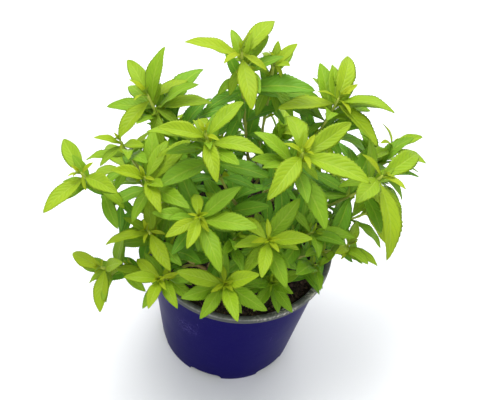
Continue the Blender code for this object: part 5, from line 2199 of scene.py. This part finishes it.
@dataclass
class PottingSoil:
    """Dark peat just below the rim, with crumbs, pale grit and short fibres on it."""

    palette: Palette
    rings: int = 60
    steps: int = 150
    clods: float = 0.9
    grain: float = 0.35
    rim_gap: float = 2.5
    least_upright: float = 0.3
    crumb_density: float = 215000.0
    smallest_crumb: float = 0.3
    largest_crumb: float = 1.5
    pale_share: float = 0.6
    crumb_stretch: float = 1.3
    fibre_count: int = 230
    fibre_steps: int = 7
    fibre_lengths: tuple[float, float] = (3, 13)
    fibre_girths: tuple[float, float] = (0.08, 0.26)
    fibre_reach: float = 54
    fibre_bend: float = 0.35
    furthest: float = 56
    above_ground: float = 0.55
    seed: int = 31

    def build(self) -> None:
        """Builds the ground, the crumbs and the fibres."""
        ground = self.ground()
        top = ground.data.copy()
        cage = bmesh.new()
        cage.from_mesh(top)
        reach = (wall_radius(SOIL_LEVEL) - WALL - self.rim_gap) * MM
        bare = [face for face in cage.faces if face.normal.z < self.least_upright
                or math.hypot(*face.calc_center_median()[:2]) > reach]
        bmesh.ops.delete(cage, geom=bare, context="FACES")
        cage.to_mesh(top)
        cage.free()
        settle_piece(ground, ("soil",))
        tree = crumb_tree()
        crumbs = run_tree("peat_crumbs", top, tree, {
            "Density": self.crumb_density, "Smallest": self.smallest_crumb * MM,
            "Largest": self.largest_crumb * MM, "Pale": self.pale_share, "Stretch": self.crumb_stretch,
            "Seed": self.seed, "Finish": self.palette.crumb})
        crumbs.data.shade_smooth()
        settle_piece(crumbs)
        self.fibres()

    def height(self, x: float, y: float) -> float:
        """The ground's height at a place.

        Args:
            x: the place across the pot.
            y: the place from front to back.

        Returns:
            The height.
        """
        spot = Vector((x, y, SOIL_LEVEL))
        broad, clod, grain = (noise.noise(spot * scale) for scale in (0.11, 0.33, 1.1))
        return SOIL_LEVEL + SOIL_BUMP * broad + self.clods * clod + self.grain * grain

    def ground(self) -> bpy.types.Object:
        """The soil as one closed solid.

        Returns:
            The object.
        """
        edge = wall_radius(SOIL_LEVEL) - WALL - FIT
        base = FLOOR_TOP + FIT
        cage = bmesh.new()
        rows = []
        for i in range(1, self.rings + 1):
            reach = edge * i / self.rings
            row = []
            for a in turn(self.steps):
                x, y = reach * math.cos(a), reach * math.sin(a)
                ends = min((edge - reach) / 3, 1)
                z = SOIL_LEVEL - 0.6 + (self.height(x, y) - SOIL_LEVEL + 0.6) * ends
                row.append(cage.verts.new(Vector((x, y, z)) * MM))
            rows.append(row)
        for drop in (2.0, 30.0, 60.0, SOIL_LEVEL - base):
            z = SOIL_LEVEL - drop
            reach = wall_radius(z) - WALL - FIT
            rows.append([cage.verts.new(Vector((reach * math.cos(a), reach * math.sin(a), z)) * MM)
                         for a in turn(self.steps)])
        for a, b in zip(rows, rows[1:]):
            for j in range(self.steps):
                k = (j + 1) % self.steps
                cage.faces.new((a[j], b[j], b[k], a[k]))
        middle = cage.verts.new(Vector((0, 0, self.height(0, 0))) * MM)
        for j in range(self.steps):
            cage.faces.new((middle, rows[0][j], rows[0][(j + 1) % self.steps]))
        cage.faces.new(list(reversed(rows[-1])))
        bmesh.ops.recalc_face_normals(cage, faces=cage.faces)
        mesh = mesh_of(cage, "peat_ground")
        mesh.materials.append(self.palette.earth)
        mesh.shade_smooth()
        mesh.set_sharp_from_angle(angle=math.radians(60))
        return linked("peat_ground", mesh)

    def fibres(self) -> None:
        """Adds short bent fibres and root hairs that lie on the ground."""
        rng = random.Random(self.seed)
        curve = bpy.data.curves.new("peat_fibres", "CURVE")
        curve.dimensions = "3D"
        curve.bevel_depth = 0.001
        curve.bevel_resolution = 1
        curve.use_fill_caps = True
        for _ in range(self.fibre_count):
            reach = self.fibre_reach * math.sqrt(rng.random())
            angle = rng.uniform(0, 2 * math.pi)
            x, y = reach * math.cos(angle), reach * math.sin(angle)
            heading, length = rng.uniform(0, 2 * math.pi), rng.uniform(*self.fibre_lengths)
            thick = rng.uniform(*self.fibre_girths)
            spline = curve.splines.new("POLY")
            spline.points.add(self.fibre_steps)
            for i, point in enumerate(spline.points):
                heading += rng.uniform(-self.fibre_bend, self.fibre_bend)
                x += math.cos(heading) * length / self.fibre_steps
                y += math.sin(heading) * length / self.fibre_steps
                if math.hypot(x, y) > self.furthest:
                    x, y = x * 0.97, y * 0.97
                lift = self.height(x, y) + self.above_ground + thick + 0.5 * math.sin(i * 0.9)
                point.co = (x * MM, y * MM, lift * MM, 1)
                point.radius = thick * (1 - 0.07 * i)
        guide = linked("fibre_guide", curve)
        mesh = finished_mesh(guide)
        bpy.data.objects.remove(guide, do_unlink=True)
        mesh.materials.clear()
        mesh.materials.append(self.palette.fibre)
        settle_piece(linked("peat_fibres", mesh))


@dataclass
class WoodyStems:
    """The brown stems that the shoots grow from, with a knuckle near their end and rough bark."""

    palette: Palette
    rows: int = 70
    sides: int = 18
    roughness: float = 0.22
    buried: float = 0.25
    slack: float = 0.1
    slack_share: float = 0.05
    knuckle: float = 0.12
    knuckle_share: float = 0.97
    knuckle_reach: float = 0.06

    def build(self) -> None:
        """Builds each stem."""
        for wood in WOODS:
            self.build_stem(wood)

    def build_stem(self, wood: Wood) -> None:
        """Builds one stem, from inside the soil to the knuckle at its end.

        Args:
            wood: the stem.
        """
        cage = bmesh.new()
        rings = []
        bottom = Vector((*wood.foot, SOIL_LEVEL - WOOD_DEPTH + FIT))
        for i in range(self.rows + 1):
            share = -self.buried + (1 + self.buried) * i / self.rows
            sunk = wood.point(0).lerp(bottom, max(-share, 0) / self.buried)
            centre = wood.point(share) if share > 0 else sunk
            radius = wood.radius(share) - (0.0 if share > self.slack_share else self.slack)
            away = abs(share - self.knuckle_share) / self.knuckle_reach
            radius *= 1 + self.knuckle * max(1 - away, 0)
            ring = []
            for a in turn(self.sides):
                out = Vector((math.cos(a), math.sin(a), 0))
                spot = Vector((out.x * 1.6, out.y * 1.6, share * 14)) + centre
                rough = self.roughness * noise.noise(spot)
                ring.append(cage.verts.new((centre + out * (radius + rough)) * MM))
            rings.append(ring)
        for a, b in zip(rings, rings[1:]):
            for j in range(self.sides):
                k = (j + 1) % self.sides
                cage.faces.new((a[j], a[k], b[k], b[j]))
        cage.faces.new(list(reversed(rings[0])))
        cage.faces.new(rings[-1])
        mesh = mesh_of(cage, "woody_stem_" + wood.name)
        mesh.materials.append(self.palette.bark)
        mesh.shade_smooth()
        mesh.set_sharp_from_angle(angle=math.radians(70))
        settle_piece(linked("bark_stem_" + wood.name, mesh), ("woody_stem_" + wood.name,))


@dataclass
class Studio:
    """The pale floor, the soft lights and the camera at the photograph's angle."""

    sight: Sight
    sensor: float = 36.0
    image_width: int = 479
    daylight: tuple[float, float, float, float] = (0.93, 0.96, 1.0, 1.0)
    daylight_strength: float = 0.86
    floor_shade: float = 0.8
    target: Vector = field(default_factory=lambda: Vector((0, 0, 0.15)))

    def build(self) -> None:
        """Builds all of it."""
        self.floor()
        self.light("key", (-0.4, 0.2, 1.5), 0.8, 18.0)
        self.light("sheen", (0.3, 1.1, 1.25), 1.2, 15.0)
        self.light("front", (0.5, -1.5, 0.8), 1.2, 6.0)
        world = bpy.data.worlds.new("studio")
        world.use_nodes = True
        sky = world.node_tree.nodes["Background"]
        sky.inputs["Color"].default_value = self.daylight
        sky.inputs["Strength"].default_value = self.daylight_strength
        scene = bpy.context.scene
        scene.world = world
        scene.view_settings.view_transform = "Standard"
        self.camera()

    def floor(self) -> None:
        """A plain pale floor."""
        cage = bmesh.new()
        bmesh.ops.create_grid(cage, x_segments=1, y_segments=1, size=4)
        mesh = mesh_of(cage, "floor")
        floor = linked("floor", mesh)
        material = bpy.data.materials.new("pale_floor")
        material.use_nodes = True
        shader = material.node_tree.nodes["Principled BSDF"]
        shader.inputs["Base Color"].default_value = (*[self.floor_shade] * 3, 1)
        shader.inputs["Roughness"].default_value = 0.9
        mesh.materials.append(material)

    def light(self, name: str, place: Triple, size: float, power: float) -> None:
        """Adds a square soft light that faces the plant.

        Args:
            name: its name.
            place: where it hangs, in metres.
            size: its side, in metres.
            power: its power, in watts.
        """
        lamp = bpy.data.lights.new(name, "AREA")
        lamp.size = size
        lamp.energy = power
        made = linked(name, lamp)
        made.location = place
        way = self.target - made.location
        made.rotation_euler = way.to_track_quat("-Z", "Y").to_euler()

    def camera(self) -> None:
        """Adds the camera on the photograph's line of sight."""
        lens = bpy.data.cameras.new("camera")
        lens.sensor_width = self.sensor
        lens.lens = self.sight.focal_px * self.sensor / self.image_width
        lens.clip_start = 0.02
        made = linked("camera", lens)
        right, above, back = self.sight.axes()
        turned_frame = Matrix((right, above, back)).transposed().to_4x4()
        made.matrix_world = Matrix.Translation(self.sight.eye() * MM) @ turned_frame
        bpy.context.scene.camera = made


def main() -> None:
    """Builds the potted herb and its studio."""
    logging.basicConfig(level=logging.INFO, format="%(name)s: %(message)s")
    palette = Palette()
    planting = Planting()
    planting.grow()
    planting.fill_gaps(planting.sight, OUTLINE, FILL_SEED, FILL_MOST)
    rear = TurnedSight()
    planting.fill_gaps(rear, planting.crown_outline(rear), FILL_SEED, REAR_MOST)
    planting.add_tufts()
    NurseryPot(palette).build()
    PottingSoil(palette).build()
    WoodyStems(palette).build()
    LeafyShoots(palette, planting).build()
    Studio(planting.sight).build()


if __name__ == "__main__":
    main()
